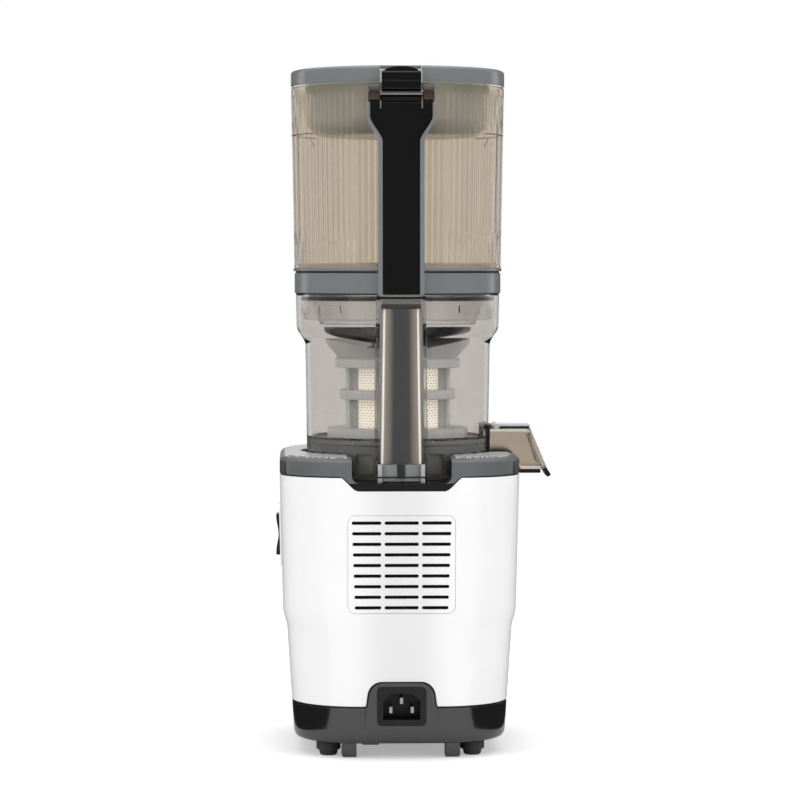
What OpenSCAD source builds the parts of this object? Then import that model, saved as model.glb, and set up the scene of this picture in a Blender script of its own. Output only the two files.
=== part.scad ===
// Upright cold press juicer: white motor base, clear juicing drum, tinted fluted hopper.
// Millimetres, +Z up. The rear faces +Y, the juice spout points to -X.
// Modules draw about the drum's axis, and place() then sets the whole on the centre of its footprint.

/* [Base housing] */
// Width of the white housing at its top edge
body_w = 159; // [150:1:166]
// Depth of the white housing at its top edge
body_d = 184; // [176:1:196]
// Plan radius of the housing's corners at the top
body_corner = 46; // [36:1:52]
// Wall of the housing and of the base pan
body_wall = 2.5; // [2:0.1:3]
// Height of the white housing
shell_h = 150; // [144:1:160]
// How far each side draws in at the lower seam
low_inset = 8; // [4:0.5:9]
// How far front and rear draw in at the lower seam
depth_inset = 4; // [1:0.5:6]
// Height of the side step above the seam
step_z = 50; // [42:1:60]
// Height over which the side step slopes
step_h = 11; // [6:1:14]
// Depth of the side step
step_d = 2.7; // [1:0.1:3.5]
// Height of the dark base pan
pan_h = 24; // [22:1:28]
// Height of the feet
foot_h = 10; // [8:0.5:14]
// Radius of a foot
foot_r = 8; // [6:0.5:9]
// Side offset of the rear feet
foot_rear_x = 47.5; // [44:0.5:50]
// Side offset of the front feet
foot_front_x = 39; // [34:0.5:44]
// Distance of a foot's middle from the housing's rear or front
foot_back = 30; // [26:1:36]

/* [Deck] */
// Height of the deck's rim above the housing
deck_rim = 13; // [12:0.5:16]
// Depth of the tray below the housing's top edge
tray_drop = 3; // [2.5:0.5:6]
// Thickness of the tray's floor
tray_t = 4.4; // [2:0.2:5]
// Width of the rear notch
notch_w = 65; // [58:1:68]
// Width of the notch's lip where it leaves the housing's top edge
notch_top_w = 82; // [76:1:90]
// Width of the notch's lip at its foot
notch_low_w = 54; // [48:1:60]
// Depth of the dip under the spout
dip_depth = 7.2; // [7:0.1:8]
// Wall of the deck
deck_wall = 2.5; // [2:0.1:3]
// Thickness of the dotted top plate
inlay_t = 0.8; // [0.6:0.1:1.2]

/* [Drum] */
// Outer radius of the drum at its floor
drum_r = 61.4; // [59:0.2:62]
// How much the drum widens up to its shoulder
drum_draft = 1; // [0:0.2:2]
// Outer radius of the flange at the top
flange_r = 68.8; // [67.4:0.1:70]
// Height of the drum above its floor
drum_h = 100; // [96:1:108]
// Height of the shoulder's lower end above the floor
shoulder_z = 66; // [62:1:68]
// Height of the shoulder
shoulder_h = 13; // [10:1:15]
// Wall of the drum
drum_wall = 2.8; // [2.4:0.1:3.2]
// Height of the ribbed skirt under the drum's floor
skirt_h = 22; // [20:0.5:24]
// Thickness of the drum's floor
drum_floor_t = 3; // [2.5:0.1:4]
// Width of the rear column
column_w = 34; // [30:1:38]
// Distance of the rear column's back from the drum's axis
column_y = 84; // [80:1:86]
// Wall of the rear column
column_wall = 2.5; // [2:0.1:3]

/* [Spout] */
// Width of the juice spout
spout_w = 30; // [26:1:36]
// Wall of the juice spout
spout_wall = 2; // [1.6:0.1:2.4]
// Reach of the spout's upper edge beyond the drum
spout_reach = 26; // [22:1:30]
// How far the slanted mouth runs out below
spout_slant = 9; // [6:1:11]
// Height of the spout at its outer end
spout_h = 27; // [25:0.5:29]
// Thickness of the cap's lever and front plate
cap_t = 3; // [2.4:0.1:3.4]
// Reach of the pulp chute beyond the deck's front
chute_reach = 20; // [12:1:28]
// Width of the pulp chute
chute_w = 34; // [28:1:38]

/* [Strainer] */
// Inner radius of the strainer's mesh
mesh_r = 29.4; // [28:0.2:30]
// Thickness of the strainer's mesh
mesh_t = 0.6; // [0.5:0.1:0.8]
// Outer radius of the cage round the mesh
cage_r = 37; // [35:0.5:39]
// Outer radius of the funnel's rim
funnel_r = 49.3; // [46:0.5:52]
// Height of the strainer above the drum's floor
strainer_h = 70; // [66:1:74]
// Height of the funnel's cone
funnel_h = 18; // [14:1:20]
// Outer radius of the strainer's foot ring
strainer_foot_r = 47.5; // [44:0.5:50]
// Number of posts of the cage
post_count = 6; // [4:1:8]
// Width of a post
post_w = 5.6; // [4:0.2:7]

/* [Screw] */
// Gap between the screw and what it turns in
screw_gap = 0.7; // [0.5:0.1:1.2]
// Number of flights
flights = 2; // [2:1:3]
// Rise of a flight in one turn
lead = 48; // [40:1:60]
// Core radius of the screw at its foot
core_low = 21; // [18:0.5:23]
// Core radius of the screw below its head
core_high = 14; // [12:0.5:16]
// Height of the head's wing above the funnel
wing_h = 8; // [4:1:10]

/* [Hopper] */
// Outer radius of the hopper at its rim
hopper_r = 71.8; // [70.6:0.1:73]
// How much narrower the hopper is at its foot
hopper_draft = 2.2; // [0:0.2:3]
// Height of the hopper above its band
hopper_h = 124; // [110:1:136]
// Wall of the hopper
hopper_wall = 2.4; // [2.2:0.1:2.8]
// Height of the clear band under the rim
clear_h = 6; // [4:0.5:12]
// Height of a rib of the fluting
flute_h = 0.5; // [0.3:0.05:0.7]
// Height of the grey band
band_h = 14.7; // [12:0.1:18]
// Outer radius of the grey band
band_r = 69.6; // [69:0.1:70.5]
// Height of the band's collar inside the bucket
collar_h = 6.4; // [4:0.1:8]
// Depth of the hopper's neck inside the drum
neck_h = 17; // [14:1:20]
// Number of bayonet lugs
lug_count = 4; // [3:1:5]
// Width of the spine
spine_w = 30; // [26:1:34]
// Width of the black strip in the spine
panel_w = 24; // [20:0.5:25]
// Width of the spine's head
head_w = 42; // [40:1:46]

/* [Lid] */
// Outer radius of the lid
lid_r = 72; // [71:0.1:73.4]
// Height of the lid
lid_h = 10.8; // [9:0.2:13]
// Wall of the lid
lid_wall = 2.4; // [2:0.1:3]
// Radius of the lid's inner cup
cup_r = 61.5; // [56:0.5:62.5]
// Depth of the inner cup below the lid
cup_h = 34; // [20:1:36]
// Radius of the hinge pin
pin_r = 2.3; // [1.8:0.1:2.6]
// Distance of the hinge pin behind the axis
pin_y = 80; // [79.6:0.1:81]
// Depth of the hinge pin below the hopper's rim
pin_drop = 7.4; // [7:0.1:8.4]
// Radius of the knuckle round the hinge pin
knuckle_r = 5.2; // [4.6:0.1:5.6]
// Width of a hinge ear
ear_w = 7.4; // [6:0.2:8]

/* [Gear train] */
// Teeth of the motor's pinion
teeth_a = 12; // [12:2:14]
// Teeth of the first wheel
teeth_b = 60; // [56:2:64]
// Teeth of the second pinion
teeth_c = 12; // [12:2:14]
// Teeth of the output wheel
teeth_d = 48; // [44:2:52]
// Module of the first pair
module_ab = 1; // [0.9:0.05:1.05]
// Face width of a gear
gear_w = 12; // [8:1:14]
// Backlash of a pair of gears
backlash = 0.16; // [0.1:0.02:0.3]
// Radius of the motor's shaft
rotor_shaft_r = 3; // [2.5:0.25:4]
// Radius of the output shaft
drive_r = 7; // [6:0.5:8]
// Width across the flats of the drive hexagon
hex_w = 11; // [9:0.5:12]
// Radius of the idler's pin
idler_pin_r = 3; // [2.5:0.25:3.5]
// Wall of the gearbox
gearbox_wall = 3; // [2.5:0.5:4]

/* [Motor] */
// Outer radius of the motor can
motor_r = 42; // [36:1:46]
// Height of the motor
motor_h = 58; // [50:1:60]
// Height of the motor's stand above the pan's floor
motor_stand = 9; // [8:0.5:12]
// Outer radius of a motor bearing
bearing_r = 8; // [7:0.5:10]
// Height of a motor bearing
bearing_h = 6; // [5:0.5:8]

/* [Inlet and switch] */
// Width of the inlet's frame
inlet_w = 32.3; // [31:0.1:34]
// Height of the inlet's frame
inlet_h = 25.2; // [24.4:0.1:27]
// Height of the inlet's centre above the pan's foot
inlet_z = 25.2; // [24:0.2:26]
// Width of the arched panel round the inlet
arch_w = 42; // [40:0.5:46]
// Height of the arched panel above the seam
arch_h = 17; // [15:0.5:20]
// Height of the switch's centre below the housing's top edge
switch_drop = 42.7; // [38:0.5:48]
// Height of the switch's bezel
bezel_h = 42; // [38:0.5:44]
// Width of the switch's bezel
bezel_w = 22; // [20:0.5:26]
// Height of the rocker
rocker_h = 27.4; // [24:0.2:30]
// Width of the rocker
rocker_w = 14; // [11:0.5:16]
// How far the rocker stands proud of the housing
rocker_proud = 3.4; // [2.6:0.1:4]

/* [Vent] */
// Width of the vent panel
vent_w = 70; // [66:1:74]
// Height of the vent panel
vent_h = 64; // [60:1:70]
// Rows of slots
vent_rows = 9; // [6:1:10]
// Distance between rows
vent_pitch = 6.9; // [6:0.1:6.9]
// Height of a slot
slot_h = 1.9; // [1.4:0.1:2.6]
// Height of the vent's centre above the seam
vent_z = 94; // [90:1:98]

/* [Clearances] */
// Gap between parts that rest on each other and come apart
seat_gap = 0.2; // [0.1:0.05:0.3]
// Gap between fixed parts that are fitted together
fit_gap = 0.2; // [0.1:0.05:0.3]
// Radial gap between a lift-off part and what it slides into
slide_gap = 0.6; // [0.4:0.1:1]
// Radial gap between a shaft and its bearing
run_gap = 0.05; // [0.02:0.01:0.09]

/* [Hidden] */
$fn = 96;

// Heights, each from the one below it
z_seam = foot_h + pan_h;
z_deck = z_seam + shell_h;
z_rim = z_deck + deck_rim;
z_tray = z_deck - tray_drop;
z_floor = z_tray + seat_gap + skirt_h;
z_drum_top = z_floor + drum_h;
z_band = z_drum_top + seat_gap;
z_bucket = z_band + band_h;
z_rim_top = z_bucket + hopper_h;
z_lid = z_rim_top + 0.7;
z_pin = z_rim_top - pin_drop;

// Sections of the housing: height, width, depth
function half_inset(z) = (z_deck - z) / shell_h;
step_low = z_seam + step_z;
step_high = step_low + step_h;
upper_taper = low_inset * 0.27;
body_rings = [
  [z_seam, body_w - 2 * low_inset, body_d - 2 * depth_inset],
  [step_low, body_w - 2 * (upper_taper + step_d), body_d - 2 * depth_inset * half_inset(step_low)],
  [step_high, body_w - 2 * upper_taper, body_d - 2 * depth_inset * half_inset(step_high)],
  [z_deck, body_w, body_d]];
rear_y = body_d / 2;
rear_low_y = rear_y - depth_inset;
rear_tilt = atan(depth_inset / shell_h);
function rear_at(z) = rear_y - depth_inset * half_inset(z);
function side_at(z) = body_w / 2 - upper_taper * (z_deck - z) / (z_deck - step_high);
side_tilt = atan(upper_taper / (z_deck - step_high));

// Spout and chute outlines
spout_root = drum_r + 0.4;
spout_top = z_floor + 9.5;
spout_tip = spout_root + spout_reach;
spout_low = spout_tip + spout_slant;
spout_base = spout_top - spout_h;
cap_hinge_x = spout_root + 4.5;
cap_hinge_z = spout_top + 1.6;
lip_reach = 5.2;
lip_drop = 5.7;
chute_tip = rear_y + chute_reach;
chute_h = 17;

// The whole footprint, whose centre is the part's origin
switch_z = z_deck - switch_drop;
x_high = side_at(switch_z) + rocker_proud * cos(side_tilt) + rocker_h / 2 * sin(side_tilt);
x_low = spout_low + cap_t * 0.5 + lip_reach;
y_low = chute_tip;
module place() { translate([(x_low - x_high) / 2, (y_low - rear_y) / 2, 0]) children(); }

// Gear geometry
centre_dist = module_ab * (teeth_a + teeth_b) / 2;
module_cd = 2 * centre_dist / (teeth_c + teeth_d);
pressure_angle = 25;
motor_z = foot_h + body_wall + motor_stand;
gearbox_z = motor_z + motor_h + 1;
gear_ab_z = gearbox_z + gearbox_wall + 1;
gear_cd_z = gear_ab_z + gear_w + 1;
gearbox_h = 2 * gearbox_wall + 2 * gear_w + 4;
gearbox_top = gearbox_z + gearbox_h;
wheel_b_r = module_ab * (teeth_b / 2 + 1);
wheel_d_r = module_cd * (teeth_d / 2 + 1);
case_r = wheel_b_r + 1.5;
drive_top = z_floor + 26;

// Strainer and screw heights
strainer_base = z_floor + drum_floor_t + seat_gap;
strainer_floor_t = 3;
screw_z = strainer_base + strainer_floor_t + 0.3;
funnel_low = z_floor + strainer_h - funnel_h;
funnel_top = z_floor + strainer_h;
screw_top = funnel_top + wing_h;
funnel_t = 2.2;
funnel_in_low = mesh_r + 0.6;
funnel_in_top = funnel_r - funnel_t;

// Points at a radius and angle
function polar(r, a) = [r * cos(a), r * sin(a)];
function smooth(t) = t * t * (3 - 2 * t);

// Rounded rectangle as points, counter-clockwise, and as exact lines and arcs
corner_steps = 9;
function rrect_points(w, d, r) = [
  for (c = [0:3], i = [0:corner_steps])
    let (sx = (c == 0 || c == 3) ? 1 : -1, sy = c < 2 ? 1 : -1)
      [sx * (w / 2 - r), sy * (d / 2 - r)] + polar(r, 90 * (c + i / corner_steps))];
module rrect(w, d, r) {
  square([w - 2 * r, d], center = true);
  square([w, d - 2 * r], center = true);
  for (sx = [-1, 1], sy = [-1, 1]) translate([sx * (w / 2 - r), sy * (d / 2 - r)]) circle(r);
}

// Solid through a stack of rings that have the same number of points
module loft(rings) {
  n = len(rings[0]);
  last = (len(rings) - 1) * n;
  polyhedron(
    points = [for (ring = rings) each ring],
    faces = [
      [for (j = [0:n - 1]) j],
      [for (j = [n - 1:-1:0]) last + j],
      for (i = [0:len(rings) - 2], j = [0:n - 1])
        let (a = i * n + j, b = i * n + (j + 1) % n) each [[a, a + n, b + n], [a, b + n, b]]],
    convexity = 8);
}
function at_z(points, z) = [for (p = points) [p[0], p[1], z]];
module body_loft(inset, rings) {
  loft([for (s = rings) at_z(rrect_points(s[1] - 2 * inset, s[2] - 2 * inset, body_corner - inset), s[0])]);
}

module tube(r_out, r_in, h) {
  difference() {
    cylinder(r = r_out, h = h);
    translate([0, 0, -1]) cylinder(r = r_in, h = h + 2);
  }
}

// Box from its low corner to its high corner
module block(low, high) { translate(low) cube(high - low); }

// ---------------------------------------------------------------- base

screw_spots = [for (sx = [-1, 1], sy = [-1, 1]) [sx * (body_w / 2 - low_inset - 30), sy * (rear_low_y - 36)]];
screw_r = 2;
boss_r = 4.4;

lip_steps = 10;
function lip_curve(side, e) = [for (k = [0:lip_steps]) let (u = k / lip_steps)
  [side * (notch_top_w / 2 + e - u * (notch_top_w - notch_low_w) / 2),
   z_deck - smooth(u) * (z_deck - z_tray + tray_t + e)]];
module notch_outline(e) {
  right = lip_curve(1, e);
  polygon(concat([[-notch_top_w / 2 - e, z_rim + 2]], lip_curve(-1, e), [for (k = [lip_steps:-1:0]) right[k]],
                 [[notch_top_w / 2 + e, z_rim + 2]]));
}

// Prism of an X-Z outline over a range of Y
module across(y0, y1) { translate([0, y1, 0]) rotate([90, 0, 0]) linear_extrude(y1 - y0) children(); }

module vent_frame(grow_w, grow_h, depth, out) {
  z = z_seam + vent_z;
  translate([0, rear_at(z), z]) rotate([-rear_tilt, 0, 0]) translate([0, out - depth, 0])
    rotate([-90, 0, 0]) linear_extrude(depth) rrect(vent_w + 2 * grow_w, vent_h + 2 * grow_h, 5);
}

module body_shell() color("white") {
  difference() {
    body_loft(0, body_rings);
    body_loft(body_wall, [concat([z_seam - 1], [body_rings[0][1], body_rings[0][2]]), each body_rings,
                          [z_deck + 1, body_w, body_d]]);
    vent_frame(fit_gap, fit_gap, 12, 4);
    across(rear_low_y - 20, rear_y + 5) translate([0, z_seam + arch_h / 2 - 5])
      rrect(arch_w + 2 * fit_gap, arch_h + 10 + 2 * fit_gap, 7);
    switch_frame() translate([-15, 0, 0]) rotate([0, 90, 0]) linear_extrude(30)
      rrect(bezel_h - 8 + 2 * fit_gap, bezel_w - 6 + 2 * fit_gap, 3);
    across(rear_y - 25, rear_y + 5) notch_outline(fit_gap);
  }
  difference() {
    for (s = screw_spots) translate([s[0], s[1], z_seam + 0.5]) {
      cylinder(r = boss_r, h = 22);
      rotate([0, 0, atan2(s[1], s[0])]) translate([0, -0.9, 0]) cube([30, 1.8, 22]);
    }
    for (s = screw_spots) translate([s[0], s[1], 0]) cylinder(r = screw_r - 0.2, h = z_deck / 2);
    difference() {
      translate([0, 0, z_seam - 1]) linear_extrude(30) square(2 * body_w, center = true);
      body_loft(body_wall / 2, body_rings);
    }
  }
}

module vent_panel() color("whitesmoke") {
  z = z_seam + vent_z;
  column_w_mid = (vent_w - 6) / 3;
  difference() {
    union() {
      vent_frame(0, 0, body_wall + 0.1, 0);
      // tabs above and below that catch behind the wall
      difference() {
        vent_frame(-4, 3, 1.6, -body_wall - 0.05);
        vent_frame(-8, -4, 8, 2);
      }
    }
    translate([0, rear_at(z), z]) rotate([-rear_tilt, 0, 0])
      for (row = [0:vent_rows - 1], c = [-1:1])
        translate([c * (column_w_mid + 0.6), 0, (row - (vent_rows - 1) / 2) * vent_pitch])
          cube([column_w_mid - 1.6, 14, slot_h], center = true);
  }
}

// Space of the drum's skirt, the column's foot and the chute in the deck, grown by e
module deck_hollow(e) {
  translate([0, 0, z_tray - e]) {
    cylinder(r = drum_r + slide_gap + 0.9 + e, h = deck_rim + 20);
    translate([-notch_w / 2 - e, 0, 0]) cube([notch_w + 2 * e, rear_y + 10, deck_rim + 20]);
    translate([-chute_w / 2 - 1 - e, -rear_y - 10, 0]) cube([chute_w + 2 + 2 * e, rear_y + 10, deck_rim + 20]);
  }
}

module deck_outer(inset) {
  body_loft(inset, [[z_deck, body_w, body_d], [z_rim - 3, body_w, body_d],
                    [z_rim - 1, body_w - 1.6, body_d - 1.6], [z_rim, body_w - 5, body_d - 5]]);
}

nose_tilt = 16;
nose_t = 1.2;
nose_w = 12;
nose_h = 9;
module deck() color("dimgray") {
  plug = body_wall + fit_gap;
  spout_edge = spout_w / 2 + 4;
  difference() {
    union() {
      deck_outer(0);
      body_loft(plug, [[z_tray - tray_t, body_w - 0.4, body_d - 0.4], [z_deck + 1, body_w, body_d]]);
      intersection() {
        body_loft(0, [[z_deck - 12, body_w, body_d - 0.6], [z_deck + 1, body_w, body_d]]);
        across(rear_y - 20, rear_y + 5) notch_outline(0);
      }
    }
    deck_hollow(0);
    difference() {
      body_loft(deck_wall + 1.2, [[z_tray - tray_t - 15, body_w, body_d], [z_rim - deck_wall, body_w, body_d]]);
      deck_hollow(deck_wall);
      translate([0, 0, z_tray - tray_t]) linear_extrude(tray_t) rrect(body_w, body_d, body_corner);
    }
    // dip under the spout
    translate([-body_w, -spout_edge, z_rim - dip_depth]) cube([body_w, 2 * spout_edge, 20]);
    // way for the drive shaft's collar
    translate([0, 0, z_tray - tray_t - 1]) cylinder(r = drive_r + 7, h = tray_t + 2);
    // seat of the safety sensor
    translate([-5, rear_y - 24, z_tray - tray_t - 1]) cube([10, 10, 1 + tray_t - 1.2]);
  }
  // drip nose under the spout
  translate([-body_w / 2 - 0.1, 0, z_deck]) rotate([0, nose_tilt, 0])
    block([-nose_t, -nose_w / 2, -nose_h], [0, nose_w / 2, dip_depth - 3]);
}

module deck_inlay() color("silver") {
  spout_edge = spout_w / 2 + 7;
  translate([0, 0, z_rim]) linear_extrude(inlay_t) difference() {
    rrect(body_w - 12, body_d - 12, body_corner - 6);
    circle(drum_r + slide_gap + 3.4);
    translate([-notch_w / 2 - 3, 0]) square([notch_w + 6, rear_y]);
    translate([-chute_w / 2 - 4, -rear_y]) square([chute_w + 8, rear_y]);
    translate([-body_w, -spout_edge]) square([body_w, 2 * spout_edge]);
  }
}

pan_rings = [
  [foot_h, body_w - 2 * low_inset - 12, body_d - 2 * depth_inset - 12],
  [foot_h + 1.4, body_w - 2 * low_inset - 5.6, body_d - 2 * depth_inset - 5.6],
  [foot_h + 5, body_w - 2 * low_inset - 2.4, body_d - 2 * depth_inset - 2.4],
  [z_seam - fit_gap, body_w - 2 * low_inset, body_d - 2 * depth_inset]];

pad_x = 20;
module base_pan() color([0.24, 0.25, 0.25]) {
  inlet_y = rear_low_y + 1.2;
  difference() {
    union() {
      difference() {
        body_loft(0, pan_rings);
        body_loft(body_wall, [[foot_h + body_wall, pan_rings[1][1], pan_rings[1][2]],
                              [foot_h + 6, pan_rings[2][1], pan_rings[2][2]],
                              [z_seam + 1, pan_rings[3][1], pan_rings[3][2]]]);
      }
      across(inlet_y - 4, inlet_y) translate([0, z_seam + arch_h / 2 - 9])
        rrect(arch_w, arch_h + 18, 7);
      // low pad under the rear edge
      translate([pad_x, pan_rings[1][2] / 2 - 9, foot_h - 1.3]) linear_extrude(2.3) rrect(11, 6, 1);
      // tower for the motor
      translate([0, 0, foot_h + 1]) tube(motor_r - 4, motor_r - 8, motor_stand + body_wall - 1);
      // slot posts of the control board
      for (sy = [-1, 1])
        block([-board_x - 2.5, sy * 24 - 3, foot_h + 1], [board_t - board_x + 2.5, sy * 24 + 3, foot_h + 8]);
      for (s = screw_spots) translate([s[0], s[1], foot_h + 1]) cylinder(r = boss_r, h = pan_h - 1 - fit_gap);
    }
    across(rear_low_y - 40, rear_y + 5) translate([0, foot_h + inlet_z])
      square([inlet_w - 4 + 2 * fit_gap, inlet_h - 4 + 2 * fit_gap], center = true);
    for (s = screw_spots) translate([s[0], s[1], 0]) {
      cylinder(r = screw_r + 0.3, h = z_deck / 2);
      cylinder(r = screw_r + 2.2, h = foot_h + 5);
    }
    for (sy = [-1, 1]) translate([-board_x - fit_gap, sy * 24 - 4, foot_h + 5]) cube([board_slot_w, 8, 4]);
    translate([0, 0, foot_h - 1]) for (a = [0:45:315]) rotate([0, 0, a]) translate([motor_r - 20, -1.2, 0])
      cube([11, 2.4, 6]);
  }
}

module foot(x, y) color([0.17, 0.17, 0.17]) translate([x, y, 0]) {
  rotate_extrude() polygon([[0, 0], [foot_r - 0.8, 0], [foot_r, 0.8], [foot_r - 0.5, foot_h], [0, foot_h]]);
}

module inlet_outline(w, h, cut) {
  polygon([[-w / 2, -h / 2], [w / 2, -h / 2], [w / 2, h / 2 - cut], [w / 2 - cut, h / 2],
           [-w / 2 + cut, h / 2], [-w / 2, h / 2 - cut]]);
}
inlet_front = rear_low_y + 1.2 + 1.6;
inlet_depth = 19;
module inlet_socket() color([0.12, 0.12, 0.12]) {
  difference() {
    union() {
      across(inlet_front - 1.6 + 0.05, inlet_front) translate([0, foot_h + inlet_z]) rrect(inlet_w, inlet_h, 3);
      across(inlet_front - inlet_depth, inlet_front) translate([0, foot_h + inlet_z])
        inlet_outline(inlet_w - 4, inlet_h - 4, 4);
    }
    across(inlet_front - inlet_depth + 2, inlet_front + 1) translate([0, foot_h + inlet_z])
      inlet_outline(24.2, 17.2, 5);
    for (b = blade_spots) block([b[0] - 1 - 0.05, inlet_front - 30, foot_h + inlet_z + b[1] - 2.05],
                                [b[0] + 1 + 0.05, inlet_front - 5, foot_h + inlet_z + b[1] + 2.05]);
  }
}
blade_spots = [[-7, -2.6], [7, -2.6], [0, 3.4]];
module inlet_blades() color("silver") {
  for (b = blade_spots) block([b[0] - 1, inlet_front - inlet_depth - 6, foot_h + inlet_z + b[1] - 2],
                              [b[0] + 1, inlet_front - 4, foot_h + inlet_z + b[1] + 2]);
}

// Rocker switch, square to the side wall
module switch_frame() { translate([side_at(switch_z), 0, switch_z]) rotate([0, side_tilt, 0]) children(); }
module switch_bezel() color("whitesmoke") {
  switch_frame() difference() {
    union() {
      translate([0.3, 0, 0]) rotate([0, 90, 0]) linear_extrude(1) rrect(bezel_h, bezel_w, 5);
      translate([-18, 0, 0]) rotate([0, 90, 0]) linear_extrude(18.6) rrect(bezel_h - 8, bezel_w - 6, 3);
    }
    translate([-16, 0, 0]) rotate([0, 90, 0]) linear_extrude(30)
      square([rocker_h + 3, rocker_w + 0.8], center = true);
    translate([-rocker_axis, 0, 0]) rotate([90, 0, 0]) cylinder(r = 1.5 + run_gap, h = bezel_w, center = true);
  }
}
rocker_axis = 5;
module rocker_switch() color([0.08, 0.08, 0.08]) {
  out = rocker_proud + rocker_axis;
  switch_frame() translate([-rocker_axis, 0, 0]) rotate([90, 0, 0]) {
    linear_extrude(rocker_w, center = true) difference() {
      polygon([[-4, -5], [0, -rocker_h / 2], [out, -rocker_h / 2], [out, rocker_h / 2],
               [0, rocker_h / 2], [-4, 5]]);
      translate([out + 30, 0]) circle(32, $fn = 128);
    }
    cylinder(r = 1.5, h = bezel_w - 7, center = true);
  }
}

// ---------------------------------------------------------------- motor and gears

module motor_can() color("silver") {
  translate([0, 0, motor_z]) difference() {
    cylinder(r = motor_r, h = motor_h);
    translate([0, 0, -1]) cylinder(r = motor_r - 2, h = motor_h - 2 + 1);
    translate([0, 0, motor_h - 3]) cylinder(r = bearing_r, h = 5);
    for (a = [0:60:300]) rotate([0, 0, a]) translate([motor_r - 14, -4, motor_h - 5]) cube([8, 8, 10]);
  }
  // field magnets on the wall of the can
  translate([0, 0, motor_z + 12]) difference() {
    tube(motor_r - 2.05, motor_r - 9, motor_h - 26);
    for (a = [0, 90]) rotate([0, 0, a]) cube([2 * motor_r, 8, 2 * motor_h], center = true);
  }
}

module motor_end_cap() color("gray") {
  translate([0, 0, motor_z]) difference() {
    union() {
      translate([0, 0, 0.1]) cylinder(r = motor_r - 2.05, h = 3);
      cylinder(r = bearing_r + 2.5, h = bearing_h + 3);
    }
    translate([0, 0, 3]) cylinder(r = bearing_r, h = bearing_h + 3);
    translate([0, 0, -1]) cylinder(r = rotor_shaft_r + 1.5, h = 20);
    for (a = [0:60:300]) rotate([0, 0, a]) translate([motor_r - 18, -4, -1]) cube([12, 8, 10]);
  }
}

bearing_low = motor_z + 3;
bearing_high = motor_z + motor_h - 3 - bearing_h + 3;
module motor_bearings() color("lightgray") {
  for (z = [bearing_low, bearing_high]) translate([0, 0, z])
    tube(bearing_r, rotor_shaft_r + run_gap, bearing_h);
}

module rotor_core() color([0.45, 0.42, 0.4]) {
  translate([0, 0, motor_z + 15]) difference() {
    cylinder(r = motor_r - 10, h = motor_h - 32);
    translate([0, 0, -1]) cylinder(r = rotor_shaft_r, h = motor_h);
    for (a = [0:30:330]) rotate([0, 0, a]) translate([motor_r - 13, -1, -1]) cube([10, 2, motor_h]);
  }
}

module rotor_shaft() color("silver") {
  translate([0, 0, motor_z + 1]) cylinder(r = rotor_shaft_r, h = gear_ab_z - motor_z);
  translate([0, 0, gear_ab_z]) linear_extrude(gear_w) gear(teeth_a, module_ab, 0);
}

module motor_fan() color([0.2, 0.2, 0.2]) {
  translate([0, 0, motor_z + motor_h - 15]) difference() {
    union() {
      cylinder(r = motor_r - 11, h = 1.6);
      cylinder(r = rotor_shaft_r + 4, h = 6);
      for (a = [0:36:324]) rotate([0, 0, a]) translate([rotor_shaft_r + 3, -0.6, 0])
        cube([motor_r - 17, 1.2, 5]);
    }
    translate([0, 0, -1]) cylinder(r = rotor_shaft_r, h = 10);
  }
}

// Involute gear outline; phase turns it in whole teeth
function inv(a) = tan(a) - a * PI / 180;
function tooth_half(z, m, r) =
  let (rb = z * m / 2 * cos(pressure_angle), a = r > rb ? acos(rb / r) : 0)
    90 / z - backlash / (z * m) * 90 / PI + (inv(pressure_angle) - inv(a)) * 180 / PI;
module gear(z, m, phase) {
  rb = z * m / 2 * cos(pressure_angle);
  rf = m * (z / 2 - 1.25);
  ra = m * (z / 2 + 0.95);
  start = max(rf, rb);
  radii = [rf, for (k = [0:3]) start + (ra - start) * k / 3 + 0.001];
  polygon([for (i = [0:z - 1])
    let (mid = 360 * (i + phase) / z)
      each concat([for (r = radii) polar(r, mid - tooth_half(z, m, r))],
                  [for (k = [4:-1:0]) polar(radii[k], mid + tooth_half(z, m, radii[k]))])]);
}

module gearbox_outline(grow) {
  circle(case_r + grow);
  translate([0, -centre_dist]) circle(case_r + grow);
  translate([-case_r - grow, -centre_dist]) square([2 * (case_r + grow), centre_dist]);
}

module gearbox_case() color("lightslategray") {
  difference() {
    translate([0, 0, gearbox_z]) linear_extrude(gearbox_h - gearbox_wall) gearbox_outline(gearbox_wall);
    translate([0, 0, gearbox_z + gearbox_wall]) linear_extrude(gearbox_h) gearbox_outline(0);
    translate([0, 0, gearbox_z - 1]) cylinder(r = rotor_shaft_r + 1, h = 10);
    translate([0, -centre_dist, gearbox_z - 1]) cylinder(r = idler_pin_r, h = 10);
  }
}

module gearbox_cover() color("slategray") {
  translate([0, 0, gearbox_top - gearbox_wall]) difference() {
    union() {
      linear_extrude(gearbox_wall) gearbox_outline(gearbox_wall);
      cylinder(r = drive_r + 6, h = z_tray - gearbox_top + gearbox_wall + 2);
      for (s = [[-1, 0], [1, 0]]) translate([s[0] * (case_r - 4), -centre_dist / 2, 0])
        cylinder(r = 4, h = z_tray - tray_t - fit_gap - gearbox_top + gearbox_wall);
    }
    translate([0, 0, -1]) cylinder(r = drive_r + 3, h = 120);
    translate([0, -centre_dist, -1]) cylinder(r = idler_pin_r, h = 10);
  }
}

module idler_pin() color("silver") {
  translate([0, -centre_dist, gearbox_z + 0.5]) cylinder(r = idler_pin_r, h = gearbox_h - 1);
}

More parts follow.
